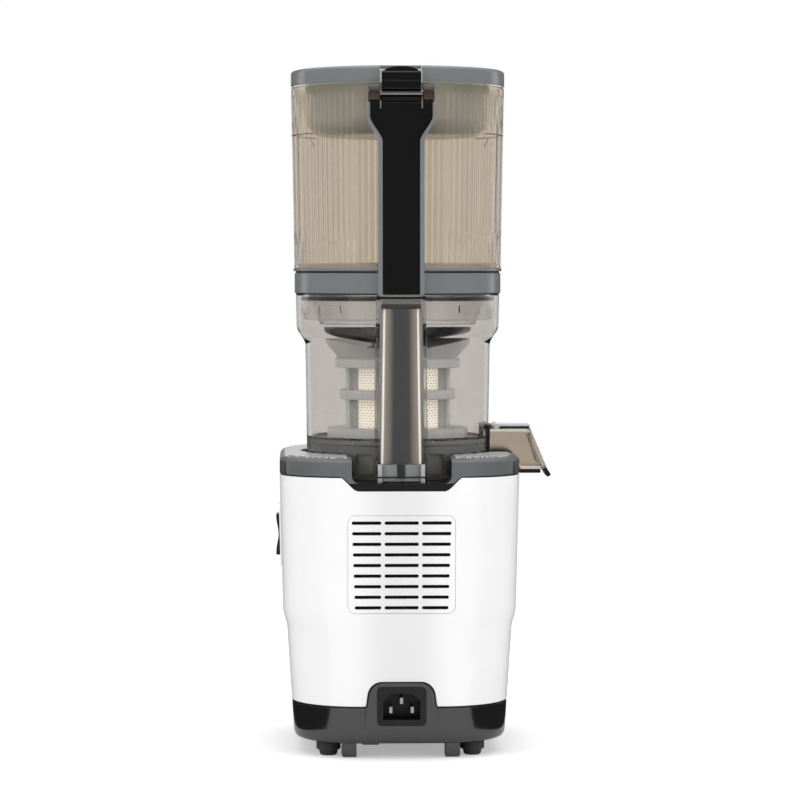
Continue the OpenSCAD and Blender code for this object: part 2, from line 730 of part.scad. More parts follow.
module idler_gear() color("goldenrod") {
  translate([0, -centre_dist, 0]) difference() {
    union() {
      translate([0, 0, gear_ab_z]) linear_extrude(gear_w) gear(teeth_b, module_ab, idler_b_phase);
      translate([0, 0, gear_cd_z - 1]) cylinder(r = module_cd * (teeth_c / 2 - 1.3), h = 1.5);
      translate([0, 0, gear_cd_z]) linear_extrude(gear_w) gear(teeth_c, module_cd, idler_c_phase);
    }
    translate([0, 0, gear_ab_z - 1]) cylinder(r = idler_pin_r + run_gap, h = 3 * gear_w);
    for (a = [0:60:300]) rotate([0, 0, a]) translate([module_ab * teeth_b / 3.2, 0, gear_ab_z - 1])
      cylinder(r = 4.5, h = gear_w + 0.5);
  }
}
// Teeth face +X at phase 0. The pinion's tooth must face the idler, at -90 degrees
function facing(z, angle) = z * angle / 360;
idler_b_phase = facing(teeth_b, 90) + 0.5 - facing(teeth_a, -90);
idler_c_phase = facing(teeth_c, 90) + 0.5;
output_phase = facing(teeth_d, -90);

module output_gear() color("goldenrod") {
  translate([0, 0, gear_cd_z]) difference() {
    linear_extrude(gear_w) gear(teeth_d, module_cd, output_phase);
    translate([0, 0, -1]) cylinder(r = drive_r, h = gear_w + 2);
    for (a = [0:60:300]) rotate([0, 0, a]) translate([module_cd * teeth_d / 3.3, 0, -1])
      cylinder(r = 4, h = gear_w + 2);
  }
}

module drive_shaft() color("lightgray") {
  translate([0, 0, gear_cd_z]) cylinder(r = drive_r, h = z_tray + 6 - gear_cd_z);
  translate([0, 0, z_tray + 5]) cylinder(d = hex_w / cos(30), h = drive_top - z_tray - 5, $fn = 6);
}

drive_bearing_z = [gearbox_top + 1, z_tray - 12];
module drive_bearings() color("peru") {
  for (z = drive_bearing_z) translate([0, 0, z]) tube(drive_r + 3, drive_r + run_gap, 9);
}

module shaft_seal() color([0.1, 0.1, 0.1]) {
  translate([0, 0, z_tray - 2.5]) tube(drive_r + 3, drive_r + run_gap, 3.5);
}

board_x = body_w / 2 - 17.7;
board_t = 1.6;
board_w = 60;
board_h = 77;
board_slot_w = board_t + 2 * fit_gap;
board_part = [8, 12, 14];
module control_board() color("darkgreen") {
  block([-board_x, -board_w / 2, foot_h + 5.2], [board_t - board_x, board_w / 2, foot_h + 5.2 + board_h]);
  for (p = [[-18, 22], [6, 30], [-4, 58]]) translate([board_t - board_x, p[0], foot_h + p[1]]) cube(board_part);
}

module safety_sensor() color([0.15, 0.15, 0.15]) {
  block([-4.8, rear_y - 23.8, z_tray - tray_t - 5], [4.8, rear_y - 14.2, z_tray - 1.2 - 0.05]);
}

module housing_screws() color("silver") {
  for (s = screw_spots) translate([s[0], s[1], foot_h + 5]) {
    translate([0, 0, -2.4]) cylinder(r = screw_r + 1.6, h = 2.4);
    cylinder(r = screw_r - 0.25, h = pan_h + 8);
  }
}

// ---------------------------------------------------------------- drum

shoulder_steps = 8;
function drum_side(t) = [
  for (k = [0:shoulder_steps]) let (u = k / shoulder_steps)
    [drum_r + drum_draft + smooth(u) * (flange_r - 0.5 - drum_r - drum_draft) - t,
     z_floor + shoulder_z + u * shoulder_h]];

module juice_hole(e) {
  block([-drum_r - 12, -spout_w / 2 + spout_wall - e, z_floor + drum_floor_t - e],
        [-drum_r + 14, spout_w / 2 - spout_wall + e, z_floor + 9.5 + e]);
}
pulp_r = 40;
pulp_hole_w = 16;
module pulp_hole(z0, z1) {
  block([-pulp_hole_w / 2, -pulp_r, z0], [pulp_hole_w / 2, -pulp_r + 14, z1]);
}

module drum_shell() color([0.75, 0.73, 0.7, 0.5]) {
  difference() {
    rotate_extrude() polygon(concat(
      [[0, z_floor], [drum_r, z_floor]], drum_side(0), [[flange_r, z_drum_top]],
      [[flange_r - drum_wall, z_drum_top]],
      [for (k = [shoulder_steps:-1:0]) drum_side(drum_wall)[k]],
      [[drum_r - drum_wall, z_floor + drum_floor_t], [0, z_floor + drum_floor_t]]));
    translate([0, 0, z_floor - 1]) cylinder(r = drive_r + 5, h = 20);
    juice_hole(0);
    pulp_hole(z_floor - 2, z_floor + 6);
  }
  // lugs that hold the hopper's neck
  for (i = [0:lug_count - 1]) rotate([0, 0, 45 + 360 * i / lug_count])
    translate([0, 0, z_drum_top - 12]) intersection() {
      tube(flange_r - drum_wall + 0.4, flange_r - drum_wall - 1.8, 5);
      translate([0, -10, 0]) cube([100, 20, 5]);
    }
}

module drum_skirt() color([0.4, 0.4, 0.4, 0.6]) {
  window_h = skirt_h - 9;
  difference() {
    translate([0, 0, z_tray + seat_gap]) tube(drum_r, drum_r - 2.2, skirt_h - 0.05);
    for (a = [7.5:15:352.5]) rotate([0, 0, a])
      translate([drum_r - 1, 0, z_tray + seat_gap + 4 + window_h / 2]) cube([8, 12, window_h], center = true);
    block([-chute_w / 2 - 0.2, -drum_r - 5, z_tray - 1], [chute_w / 2 + 0.2, -20, z_floor + 1]);
  }
}

function column_ring(inset, z) = let (t = (z - z_tray) / (z_drum_top - z_tray), w = column_w + 1.5 - 3 * t)
  [for (p = rrect_points(w - 2 * inset, 30 - 2 * inset, 6 - inset)) [p[0], p[1] + column_y - 15, z]];
module column_cut(z0, z1) { translate([0, 0, z0]) cylinder(r = flange_r, h = z1 - z0); }
module drum_column() color([0.55, 0.55, 0.54, 0.5]) {
  foot_top = z_tray + 15;
  difference() {
    union() {
      loft([column_ring(0, foot_top - 2), column_ring(0, z_drum_top)]);
      loft([column_ring(0.8, z_tray + seat_gap), column_ring(0.8, foot_top)]);
      for (sx = [-1, 1]) translate([sx * (column_w / 2 - 1.2) - 0.8, column_y - 8, z_tray + seat_gap])
        cube([1.6, 8.6, 14]);
    }
    loft([column_ring(column_wall, foot_top), column_ring(column_wall, z_drum_top - column_wall)]);
    rotate_extrude() polygon(concat([[0, z_tray - 1], [drum_r + 0.05, z_tray - 1],
      [drum_r + 0.05, z_floor]], drum_side(-0.05),
      [[flange_r + 0.05, z_drum_top], [flange_r + 0.05, z_drum_top + 1],
      [0, z_drum_top + 1]]));
    block([-2.2, column_y - 3.5, z_tray + 3], [2.2, column_y + 1, z_tray + 11.2]);
  }
}

module column_core() color([0.27, 0.27, 0.28]) {
  rotate([0, 0, 0]) loft([
    for (z = [z_tray + 15.1, z_drum_top - column_wall - 1]) let (t = (z - z_tray) / (z_drum_top - z_tray))
      [for (p = rrect_points(17 - 3 * t, 7, 2)) [p[0], p[1] + column_y - 7, z]]]);
}

module safety_magnet() color([0.2, 0.2, 0.22]) {
  block([-2.1, column_y - 3.4, z_tray + 3.1], [2.1, column_y - 1.2, z_tray + 11.1]);
}

module drum_seal() color([0.15, 0.15, 0.15]) {
  translate([0, 0, z_floor - 1.5]) difference() {
    union() {
      cylinder(r = drive_r + 4.95, h = 5);
      cylinder(r = drive_r + 7, h = 1.45);
    }
    translate([0, 0, -1]) cylinder(r = drive_r + 1, h = 20);
  }
}

// Outline of the spout in X-Z: root at the drum, slanted mouth outside
module spout_outline(e) {
  knee_x = body_w / 2 + 1.2;
  polygon([[-spout_root, z_rim - 4.8 + e], [-knee_x + 8, z_rim - 5.8 + e], [-knee_x, z_rim - 7 + e],
           [-knee_x - 2, spout_base + e], [-spout_low, spout_base + e], [-spout_tip, spout_top - e],
           [-spout_root, spout_top - e]]);
}

module juice_spout() color([0.62, 0.57, 0.52, 0.6]) {
  difference() {
    union() {
      across(-spout_w / 2, spout_w / 2) spout_outline(0);
      for (sy = [-1, 1]) translate([-cap_hinge_x, sy * (spout_w / 2 - 1.5), cap_hinge_z]) rotate([90, 0, 0])
        cylinder(r = 2.6, h = 3, center = true);
    }
    across(-spout_w / 2 + spout_wall, spout_w / 2 - spout_wall) intersection() {
      spout_outline(spout_wall);
      union() {
        translate([-spout_low - 10, 0]) square([spout_low + 10 - spout_root - 1, 400]);
        translate([-spout_root - 2, z_floor + drum_floor_t]) square([4, 6]);
      }
    }
    // the mouth and the way in from the drum
    across(-spout_w / 2 + spout_wall, spout_w / 2 - spout_wall)
      polygon([[-spout_low - 9, spout_base + spout_wall], [-spout_low + 8, spout_base + spout_wall],
               [-spout_tip + 4, spout_top - spout_wall], [-spout_tip - 9, spout_top - spout_wall]]);
    juice_hole(0);
    for (sy = [-1, 1]) translate([-cap_hinge_x, sy * spout_w / 2, cap_hinge_z]) rotate([90, 0, 0])
      cylinder(r = 1.2 + run_gap, h = 8, center = true);
    translate([0, 0, z_tray]) cylinder(r = drum_r + 0.45, h = 60);
  }
}

module spout_gasket() color([0.1, 0.1, 0.1]) {
  intersection() {
    translate([0, 0, z_tray])
      tube(drum_r + 2.3, drum_r + drum_draft * (spout_top + 3 - z_floor) / shoulder_z + 0.05, 60);
    difference() {
      block([-drum_r - 10, -spout_w / 2 - 2.4, z_rim - 6.2], [-20, spout_w / 2 + 2.4, spout_top + 2.8]);
      block([-drum_r - 11, -spout_w / 2 - 0.1, z_rim - 4.9], [-10, spout_w / 2 + 0.1, spout_top + 0.1]);
    }
  }
}

module spout_sill() color([0.12, 0.12, 0.12]) {
  knee_x = body_w / 2 + 3.2;
  block([-spout_low + 2.5, -spout_w / 2 + 0.5, spout_base - 1.9],
        [-knee_x - 0.5, spout_w / 2 - 0.5, spout_base - 0.05]);
}

// The cap: lever on top, slanted plate over the mouth, lip below
slant = atan(spout_slant / spout_h);
module cap_frame() { translate([-spout_tip, 0, spout_top]) rotate([0, slant, 0]) children(); }
module juice_cap() color([0.7, 0.7, 0.7]) {
  length = spout_h / cos(slant);
  gap = 0.5;
  difference() {
    union() {
      hull() {
        translate([-cap_hinge_x, 0, cap_hinge_z]) rotate([90, 0, 0])
          cylinder(r = 2.4, h = spout_w - 7, center = true);
        block([-spout_tip - 1.5, -spout_w / 2 + 3.5, spout_top + gap],
              [-spout_tip + 4, spout_w / 2 - 3.5, spout_top + gap + cap_t]);
      }
      cap_frame() block([-gap - cap_t, -spout_w / 2, -length], [-gap, spout_w / 2, gap + 1]);
      cap_frame() translate([-gap - cap_t, 0, -length]) rotate([0, 14, 0])
        block([0, -spout_w / 2 + 4, -lip_drop - 0.6], [cap_t, spout_w / 2 - 4, 1]);
    }
    // room above the spout
    block([-spout_tip + 0.01, -spout_w, 0], [0, spout_w, spout_top + gap]);
  }
  for (sy = [-1, 1]) translate([-cap_hinge_x, sy * (spout_w / 2 - 2.2), cap_hinge_z]) rotate([90, 0, 0])
    cylinder(r = 1.2, h = 4.4, center = true);
}

module cap_seal() color([0.1, 0.1, 0.1]) {
  length = spout_h / cos(slant);
  cap_frame() block([-0.45, -spout_w / 2 + spout_wall + 1, -length + 4.5],
                    [1.2, spout_w / 2 - spout_wall - 1, -4.5]);
}

module pulp_chute() color([0.3, 0.3, 0.3]) {
  top = z_floor - 0.05;
  difference() {
    block([-chute_w / 2, -chute_tip, top - chute_h], [chute_w / 2, -24, top]);
    block([-chute_w / 2 + 2, -chute_tip - 1, top - chute_h + 2], [chute_w / 2 - 2, -26, top - 2]);
    pulp_hole(top - chute_h + 3, top + 1);
    translate([0, 0, top - chute_h - 1]) cylinder(r = drive_r + 8, h = 40);
  }
}

// ---------------------------------------------------------------- strainer and screw

cage_ring_h = 7.5;
module ring(r, z, h) { translate([0, 0, z]) tube(r, mesh_r + mesh_t + 0.05, h); }
module strainer_frame() color([0.55, 0.56, 0.56]) {
  base = strainer_base;
  mid = (funnel_low + base) / 2 + 2;
  difference() {
    union() {
      // funnel with its rolled rim
      rotate_extrude() polygon([
        [mesh_r + mesh_t + 0.05, funnel_low - 3], [cage_r + 3, funnel_low - 3], [cage_r + 3, funnel_low],
        [funnel_r, funnel_top - 2], [funnel_r, funnel_top], [funnel_in_top, funnel_top],
        [funnel_in_low, funnel_low]]);
      ring(cage_r + 5.2, funnel_low - 6.5, 6);
      ring(cage_r + 2, mid, cage_ring_h - 1);
      ring(cage_r - 1, base + 6, 4);
      translate([0, 0, base]) tube(strainer_foot_r, screw_shoulder_r + 1.4, 7);
      for (i = [0:post_count - 1]) rotate([0, 0, 360 * i / post_count])
        block([mesh_r + mesh_t + 0.05, -post_w / 2, base + 1], [cage_r, post_w / 2, funnel_low - 1]);
    }
    // V in the rear of the rim
    across(0, funnel_r + 5) polygon([[-funnel_r + 2, funnel_top + 5], [-funnel_r + 2, funnel_top + 0.01],
                                     [0, funnel_top - 9], [funnel_r - 2, funnel_top + 0.01],
                                     [funnel_r - 2, funnel_top + 5]]);
    pulp_hole(base - 1, base + 10);
    translate([0, 0, base + strainer_floor_t]) cylinder(r = mesh_r + mesh_t + 0.05, h = 8);
  }
}
screw_shoulder_r = 22;

module strainer_mesh() color("antiquewhite") {
  low = strainer_base + strainer_floor_t + 0.05;
  translate([0, 0, low]) tube(mesh_r + mesh_t, mesh_r, funnel_low - low - 0.05);
}

// The screw: rings of points whose radius runs between core and flight, turned with height
ring_points = 36;
ring_step = 2;
crest = 24;
flank = 52;
function flight_shape(a) = let (p = abs((a * flights + 180) % 360 - 180))
  p <= crest ? 1 : p >= flank ? 0 : smooth((flank - p) / (flank - crest));
function envelope(z) = z < funnel_low ? mesh_r - screw_gap :
  min(mesh_r - screw_gap + (z - funnel_low) / funnel_h * (funnel_in_top - funnel_in_low),
      funnel_in_top - screw_gap);
function core(z) = z < funnel_low ? core_low + (core_high - core_low) * (z - screw_z) / (funnel_low - screw_z) :
  z < funnel_top ? core_high + (z - funnel_low) / funnel_h * 4 :
  (core_high + 4) * (1 - 0.55 * (z - funnel_top) / wing_h);
function flight_r(z) = z <= funnel_top ? envelope(z) :
  let (u = (z - funnel_top) / wing_h) core(z) + (envelope(funnel_top) - core(z)) * (1 - 0.75 * u);
function screw_ring(z) = [for (j = [0:ring_points - 1]) let (a = 360 * j / ring_points)
  let (p = polar(core(z) + (flight_r(z) - core(z)) * flight_shape(a), a - 360 * (z - screw_z) / lead))
    [p[0], p[1], z]];
screw_levels = let (n = ceil((screw_top - screw_z) / ring_step))
  [for (i = [0:n]) screw_z + (screw_top - screw_z) * i / n];
module juicing_screw() color([0.1, 0.1, 0.1]) {
  difference() {
    loft([for (z = screw_levels) screw_ring(z)]);
    translate([0, 0, screw_z - 1]) cylinder(r = socket_r, h = drive_top - screw_z + 3);
  }
}

socket_r = hex_w / 2 / cos(30) + 3;
module screw_socket() color("silver") {
  translate([0, 0, screw_z]) difference() {
    cylinder(r = socket_r, h = drive_top - screw_z + 1.5);
    translate([0, 0, -1]) cylinder(d = (hex_w + 0.5) / cos(30), h = drive_top - screw_z + 1.3, $fn = 6);
  }
}

// ---------------------------------------------------------------- hopper

function bucket_r(z) = hopper_r - hopper_draft * (z_rim_top - z) / hopper_h;
flute_count = 132;
flute_low = 5;
// Ripple of the fluting, left out beside the spine
function flute_ring(z, ripple) = [
  for (j = [0:2 * flute_count - 1]) let (a = 90 + 360 * (j + 0.5) / (2 * flute_count), bare = spine_w / 2 + 10)
    let (x = bucket_r(z) * cos(a), y = bucket_r(z) * sin(a))
      let (h = (abs(x) < bare && y > 0) ? 0 : (j % 2) * ripple, p = polar(bucket_r(z) - flute_h + h, a))
        [p[0], p[1], z]];

lip_r = bucket_r(z_bucket) + 0.7;
lip_h = 3;
module hopper_bucket() color([0.72, 0.68, 0.6, 0.5]) {
  low = z_bucket + flute_low;
  high = z_rim_top - clear_h;
  difference() {
    union() {
      rotate_extrude() polygon([[0, z_bucket + 0.05], [lip_r, z_bucket + 0.05], [lip_r, z_bucket + lip_h],
                                [bucket_r(low) + 0.1, z_bucket + lip_h], [bucket_r(low) + 0.1, low], [0, low]]);
      loft([flute_ring(low - 1, flute_h), flute_ring(high + 1, flute_h)]);
      translate([0, 0, high]) cylinder(r1 = bucket_r(high) + 0.1, r2 = hopper_r, h = clear_h);
    }
    translate([0, 0, z_bucket - 1])
      cylinder(r1 = bucket_r(z_bucket - 1) - hopper_wall, r2 = bucket_r(z_rim_top + 1) - hopper_wall,
               h = hopper_h + 2, $fn = 192);
  }
}

neck_r = flange_r - drum_wall - slide_gap - 1.9;
module hopper_band() color([0.47, 0.48, 0.49]) {
  difference() {
    union() {
      translate([0, 0, z_band]) cylinder(r = band_r, h = band_h);
      translate([0, 0, z_bucket - 1]) cylinder(r = bucket_r(z_bucket) - hopper_wall - 0.15, h = collar_h + 1);
      translate([0, 0, z_band - neck_h]) cylinder(r = neck_r, h = neck_h + 1);
      // bayonet lugs, turned clear of the drum's
      for (i = [0:lug_count - 1]) rotate([0, 0, 360 * i / lug_count]) translate([0, 0, z_band - 13.5])
        intersection() {
          cylinder(r = neck_r + 1.5, h = 4);
          translate([0, -11, 0]) cube([100, 22, 4]);
        }
    }
    translate([0, 0, z_band - neck_h - 1]) cylinder(r = neck_r - 2.6, h = neck_h + band_h + 3);
    translate([0, 0, z_bucket + 0.2])
      cylinder(r1 = neck_r - 2.6, r2 = bucket_r(z_bucket) - hopper_wall - 1.4, h = collar_h);
  }
}

module hopper_funnel() color([0.35, 0.36, 0.36]) {
  out = neck_r - 2.65;
  low = funnel_top + wing_h + 2;
  rotate_extrude() polygon([
    [out, z_band + 2], [out, z_band + band_h - 0.1], [out - 1.2, z_band + band_h - 0.1],
    [out - 2.4, z_band + 4], [funnel_r + 1, low + 2.4], [funnel_r + 1, low], [funnel_r + 3, low]]);
}

module hopper_seal() color([0.12, 0.12, 0.12]) {
  translate([0, 0, z_band - 4.2]) tube(neck_r + 1.5, neck_r + 0.05, 2.4);
}

// Spine outline in X-Z, widening to the head at the hinge
spine_knee = z_rim_top - 18;
module spine_outline(w, top_w, low, high) {
  knee = spine_knee;
  curve = 8;
  polygon(concat(
    [[-w / 2, low], [w / 2, low], [w / 2, knee - 22]],
    [for (k = [1:curve]) let (u = k / curve) [w / 2 + (top_w - w) / 2 * smooth(u), knee - 22 + 22 * u]],
    [[top_w / 2, high], [-top_w / 2, high]],
    [for (k = [curve:-1:1]) let (u = k / curve) [-w / 2 - (top_w - w) / 2 * smooth(u), knee - 22 + 22 * u]],
    [[-w / 2, knee - 22]]));
}
module hopper_body(e) {
  rotate_extrude() polygon([
    [0, z_band - 1], [band_r + e, z_band - 1], [band_r + e, z_bucket], [lip_r + e, z_bucket],
    [lip_r + e, z_bucket + lip_h], [bucket_r(z_bucket) + 0.15 + e, z_bucket + lip_h],
    [bucket_r(z_rim_top + 1) + 0.15 + e, z_rim_top + 1], [0, z_rim_top + 1]]);
}
panel_t = 5;
module spine_frame() color([0.42, 0.44, 0.46]) {
  difference() {
    across(50, column_y) spine_outline(spine_w, head_w, z_band, z_rim_top - 1);
    hopper_body(0.05);
    across(column_y - panel_t - 0.1, column_y + 1)
      spine_outline(panel_w + 0.2, head_w - 7.8, z_band - 1, z_rim_top + 5);
    hinge_room();
    // hollow behind the black strip
    across(50, column_y - panel_t - 2)
      spine_outline(spine_w - 5, head_w - 6, z_band + 3, spine_knee + 1);
  }
}

// Room for the knuckle and the two ears
module hinge_room() {
  block([-head_w, 60, z_pin - knuckle_r - 0.9], [head_w, column_y + 5, z_rim_top + 5]);
}

module spine_panel() color([0.07, 0.07, 0.07]) {
  difference() {
    across(column_y - panel_t, column_y + 0.6) spine_outline(panel_w, head_w - 8, z_band + 0.1, z_rim_top - 1);
    hinge_room();
  }
}

knuckle_w = head_w - 2 * ear_w;
module hinge_ears() color([0.36, 0.27, 0.22, 0.8]) {
  difference() {
    for (sx = [-1, 1]) translate([sx * (head_w / 2 - ear_w / 2 + 0.4), 0, 0])
      translate([-ear_w / 2, 0, 0]) rotate([90, 0, 90]) linear_extrude(ear_w) {
        translate([pin_y, z_pin]) circle(pin_r + 2.3);
        translate([62, z_pin - knuckle_r - 0.8]) square([pin_y - 62, knuckle_r + 0.8 + pin_r + 2.3]);
        translate([pin_y - 3, z_pin - knuckle_r - 0.8]) square([7, knuckle_r]);
      }
    hopper_body(0.05);
    translate([0, pin_y, z_pin]) rotate([0, 90, 0]) cylinder(r = pin_r, h = 2 * head_w, center = true);
  }
}

module hinge_pin() color("silver") {
  translate([0, pin_y, z_pin]) rotate([0, 90, 0]) cylinder(r = pin_r, h = head_w + 1.6, center = true);
}

// ---------------------------------------------------------------- lid

knuckle_front = 66;
module knuckle_side() {
  hull() {
    translate([pin_y, z_pin]) circle(knuckle_r);
    translate([73.2, z_lid + 1]) square([pin_y - 73.2 + 2, 7]);
  }
  translate([knuckle_front, z_lid + 0.2]) square([pin_y - knuckle_front, lid_h - 0.8]);
}
module lid_knuckle() color([0.07, 0.07, 0.07]) {
  difference() {
    rotate([90, 0, 90]) linear_extrude(knuckle_w, center = true) knuckle_side();
    translate([0, pin_y, z_pin]) rotate([0, 90, 0])
      cylinder(r = pin_r + run_gap, h = 2 * head_w, center = true);
  }
}

module lid_cover() color([0.47, 0.48, 0.49]) {
  difference() {
    translate([0, 0, z_lid]) rotate_extrude() polygon([
      [0, lid_h - lid_wall], [lid_r - lid_wall, lid_h - lid_wall - 0.6], [lid_r - lid_wall, 0], [lid_r, 0],
      [lid_r, lid_h - 2.4], [lid_r - 0.8, lid_h - 1], [lid_r - 2.6, lid_h - 0.2], [0, lid_h]]);
    block([-knuckle_w / 2 - 0.05, knuckle_front - 0.05, z_lid - 1],
          [knuckle_w / 2 + 0.05, 90, z_lid + lid_h + 1]);
  }
}

module lid_cup() color([0.5, 0.5, 0.48, 0.6]) {
  top = z_lid + lid_h - lid_wall - 0.65;
  bottom = z_rim_top - cup_h + 1;
  rotate_extrude() polygon([
    [0, bottom], [cup_r - 6, bottom], [cup_r - 1.8, bottom + 1.8], [cup_r, bottom + 6], [cup_r + 0.6, top],
    [cup_r - 1.4, top], [cup_r - 2, bottom + 6.4], [cup_r - 3.4, bottom + 3.4], [cup_r - 6.6, bottom + 2],
    [0, bottom + 2]]);
}

// ---------------------------------------------------------------- the sub-parts, one node each

place() body_shell();
place() vent_panel();
place() deck();
place() deck_inlay();
place() base_pan();
place() foot(foot_rear_x, rear_y - foot_back);  // foot_rear_left
place() foot(-foot_rear_x, rear_y - foot_back);  // foot_rear_right
place() foot(foot_front_x, foot_back - rear_y);  // foot_front_left
place() foot(-foot_front_x, foot_back - rear_y);  // foot_front_right
place() inlet_socket();
place() inlet_blades();
place() switch_bezel();
place() rocker_switch();
place() motor_can();
place() motor_end_cap();
place() motor_bearings();
place() rotor_core();
place() rotor_shaft();
place() motor_fan();
place() gearbox_case();
place() gearbox_cover();
place() idler_pin();
place() idler_gear();
place() output_gear();
place() drive_shaft();
place() drive_bearings();
place() shaft_seal();
place() control_board();
place() safety_sensor();
place() housing_screws();
place() drum_shell();
place() drum_skirt();
place() drum_column();
place() column_core();
place() safety_magnet();
place() drum_seal();
place() juice_spout();
place() spout_gasket();
place() spout_sill();
place() juice_cap();
place() cap_seal();
place() pulp_chute();
place() strainer_frame();
place() strainer_mesh();
place() juicing_screw();
place() screw_socket();
place() hopper_bucket();
place() hopper_band();
place() hopper_funnel();
place() hopper_seal();
place() spine_frame();
place() spine_panel();
place() hinge_ears();
place() hinge_pin();
place() lid_cover();
place() lid_cup();
place() lid_knuckle();
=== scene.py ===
# %% [markdown]
# # Dressing a cold press juicer
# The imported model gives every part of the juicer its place: a white motor base, a clear drum with a
# strainer and a screw in it, and a tinted hopper under a hinged lid. This lesson puts smooth meshes and
# real finishes over that frame. Each visible part is either kept, and gets a better material, or is
# replaced by a finer mesh that has the same measurements. Working from the frame's own boxes, instead of
# from guesses, keeps every piece seated on its neighbour.

# %% Load the frame
import math

import bmesh
import bpy
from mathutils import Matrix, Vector


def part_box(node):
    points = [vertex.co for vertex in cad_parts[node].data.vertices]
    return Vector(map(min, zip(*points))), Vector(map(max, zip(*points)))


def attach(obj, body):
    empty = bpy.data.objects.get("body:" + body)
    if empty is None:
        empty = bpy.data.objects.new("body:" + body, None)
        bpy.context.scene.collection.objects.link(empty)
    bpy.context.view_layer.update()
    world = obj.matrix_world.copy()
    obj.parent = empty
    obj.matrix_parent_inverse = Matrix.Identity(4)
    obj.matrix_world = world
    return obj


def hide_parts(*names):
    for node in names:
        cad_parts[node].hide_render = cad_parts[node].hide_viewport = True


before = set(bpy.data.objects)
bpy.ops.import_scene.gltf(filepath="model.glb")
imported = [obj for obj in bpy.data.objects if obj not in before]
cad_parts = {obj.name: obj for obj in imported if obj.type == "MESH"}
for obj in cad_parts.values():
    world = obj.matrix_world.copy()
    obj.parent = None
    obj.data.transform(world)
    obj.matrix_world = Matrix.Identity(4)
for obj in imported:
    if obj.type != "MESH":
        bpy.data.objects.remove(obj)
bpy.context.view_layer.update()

# %% [markdown]
# ## Measuring instead of guessing
# Blender works in metres, but a kitchen machine is easier to think of in millimetres. All shapes below are
# written in millimetres about the drum's axis, and one function turns them into metres in the frame. Heights
# and radii are read from the boxes of the CAD parts, so the dressing follows if the frame changes.

# %% Heights and radii from the frame
MM = 0.001


def low(node, side):
    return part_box(node)[0][side] / MM


def high(node, side):
    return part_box(node)[1][side] / MM


def width(node, k=0):
    return high(node, k) - low(node, k)


def radius(node):
    return width(node) / 2


def height_of(node):
    """Height of the middle of a node."""
    return (low(node, 2) + high(node, 2)) / 2


AXIS = [(low("drum_shell", k) + high("drum_shell", k)) / 2 for k in (0, 1)]
PAN_Z, SEAM_Z, DECK_Z = low("base_pan", 2), low("body_shell", 2), high("body_shell", 2)
RIM_Z, SKIRT_Z = low("deck_inlay", 2), low("drum_skirt", 2)
FLOOR_Z, DRUM_Z = low("drum_shell", 2), high("drum_shell", 2)
BAND_Z, BUCKET_Z, MOUTH_Z = low("spine_frame", 2), low("hopper_bucket", 2), high("hopper_bucket", 2)
LID_Z, TOP_Z = low("lid_cover", 2), high("lid_cover", 2)
FLANGE_R = radius("drum_shell")
DRUM_R = radius("drum_skirt")
BAND_R = radius("hopper_band")
MOUTH_R = radius("hopper_bucket")
LID_R = radius("lid_cover")
print("drum axis", [round(a, 2) for a in AXIS], "radii",
      [round(r, 2) for r in (DRUM_R, FLANGE_R, BAND_R, MOUTH_R, LID_R)])


def reach(node, k):
    """Both ends of a node along x or y, about the drum's axis."""
    return [low(node, k) - AXIS[k], high(node, k) - AXIS[k]]


def at(x, y, z):
    """A point in millimetres about the drum's axis, as metres in the frame."""
    return Vector(((x + AXIS[0]) * MM, (y + AXIS[1]) * MM, z * MM))


# %% [markdown]
# ## The camera
# The machine is seen from behind, a little from its left and a little from above, through a long lens: the
# edges of lid and base curve only slightly. A long lens far away gives that calm product view. The distance
# and height were found by matching how much those curved edges bend.

# %% Camera behind the machine
CAMERA_BACK, CAMERA_ASIDE, CAMERA_Z, LENS = 2200.0, 67.0, 319.6, 146.4
AIM_ASIDE, AIM_Z = -1.7, 231.7

camera_data = bpy.data.cameras.new("rear_view")
camera_data.sensor_width = 36.0
camera_data.lens = LENS
camera = bpy.data.objects.new("rear_view", camera_data)
bpy.context.scene.collection.objects.link(camera)
camera.location = at(CAMERA_ASIDE, CAMERA_BACK, CAMERA_Z)
look = at(AIM_ASIDE, 0, AIM_Z) - camera.location
camera.rotation_euler = look.to_track_quat("-Z", "Y").to_euler()
bpy.context.scene.camera = camera
print("camera stands", round(look.length, 3), "m away")

# %% [markdown]
# ## Three ways to make a mesh
# Nearly everything here is turned, stacked, or pressed out. A *turned* part is a profile swept round the
# axis, a *stacked* part joins outlines of equal length one above another, and a *pressed* part is an
# outline with a thickness. Booleans then cut windows and holes. These could be modelled by hand with Spin,
# Bridge and Solidify, but short functions keep every size readable and let the shapes be changed later.

# %% Turning points into pieces
def skin(points, faces):
    """A mesh from points in millimetres, with doubled points welded and all faces facing out."""
    shape = bmesh.new()
    corners = [shape.verts.new(at(*p)) for p in points]
    for face in faces:
        try:
            shape.faces.new([corners[k] for k in face])
        except ValueError:
            pass
    bmesh.ops.remove_doubles(shape, verts=shape.verts, dist=2e-6)
    bmesh.ops.dissolve_degenerate(shape, edges=shape.edges, dist=1e-6)
    bmesh.ops.recalc_face_normals(shape, faces=shape.faces)
    return shape


def stacked(rings, closed=False):
    """Joins rings of points one above another, and then the last to the first or a cap on both ends."""
    n, m = len(rings[0]), len(rings)
    faces = []
    for i in range(m if closed else m - 1):
        for j in range(n):
            a, b = i * n, ((i + 1) % m) * n
            faces.append((a + j, a + (j + 1) % n, b + (j + 1) % n, b + j))
    if not closed:
        faces += [tuple(range(n)), tuple(range((m - 1) * n, m * n))]
    return skin([p for ring in rings for p in ring], faces)


def turned(profile, steps=160, centre=(0.0, 0.0)):
    """Sweeps a closed profile of (radius, height) round an upright axis."""
    rings = []
    for k in range(steps):
        a = 2 * math.pi * k / steps
        rings.append([(centre[0] + r * math.cos(a), centre[1] + r * math.sin(a), z) for r, z in profile])
    return stacked(rings, closed=True)


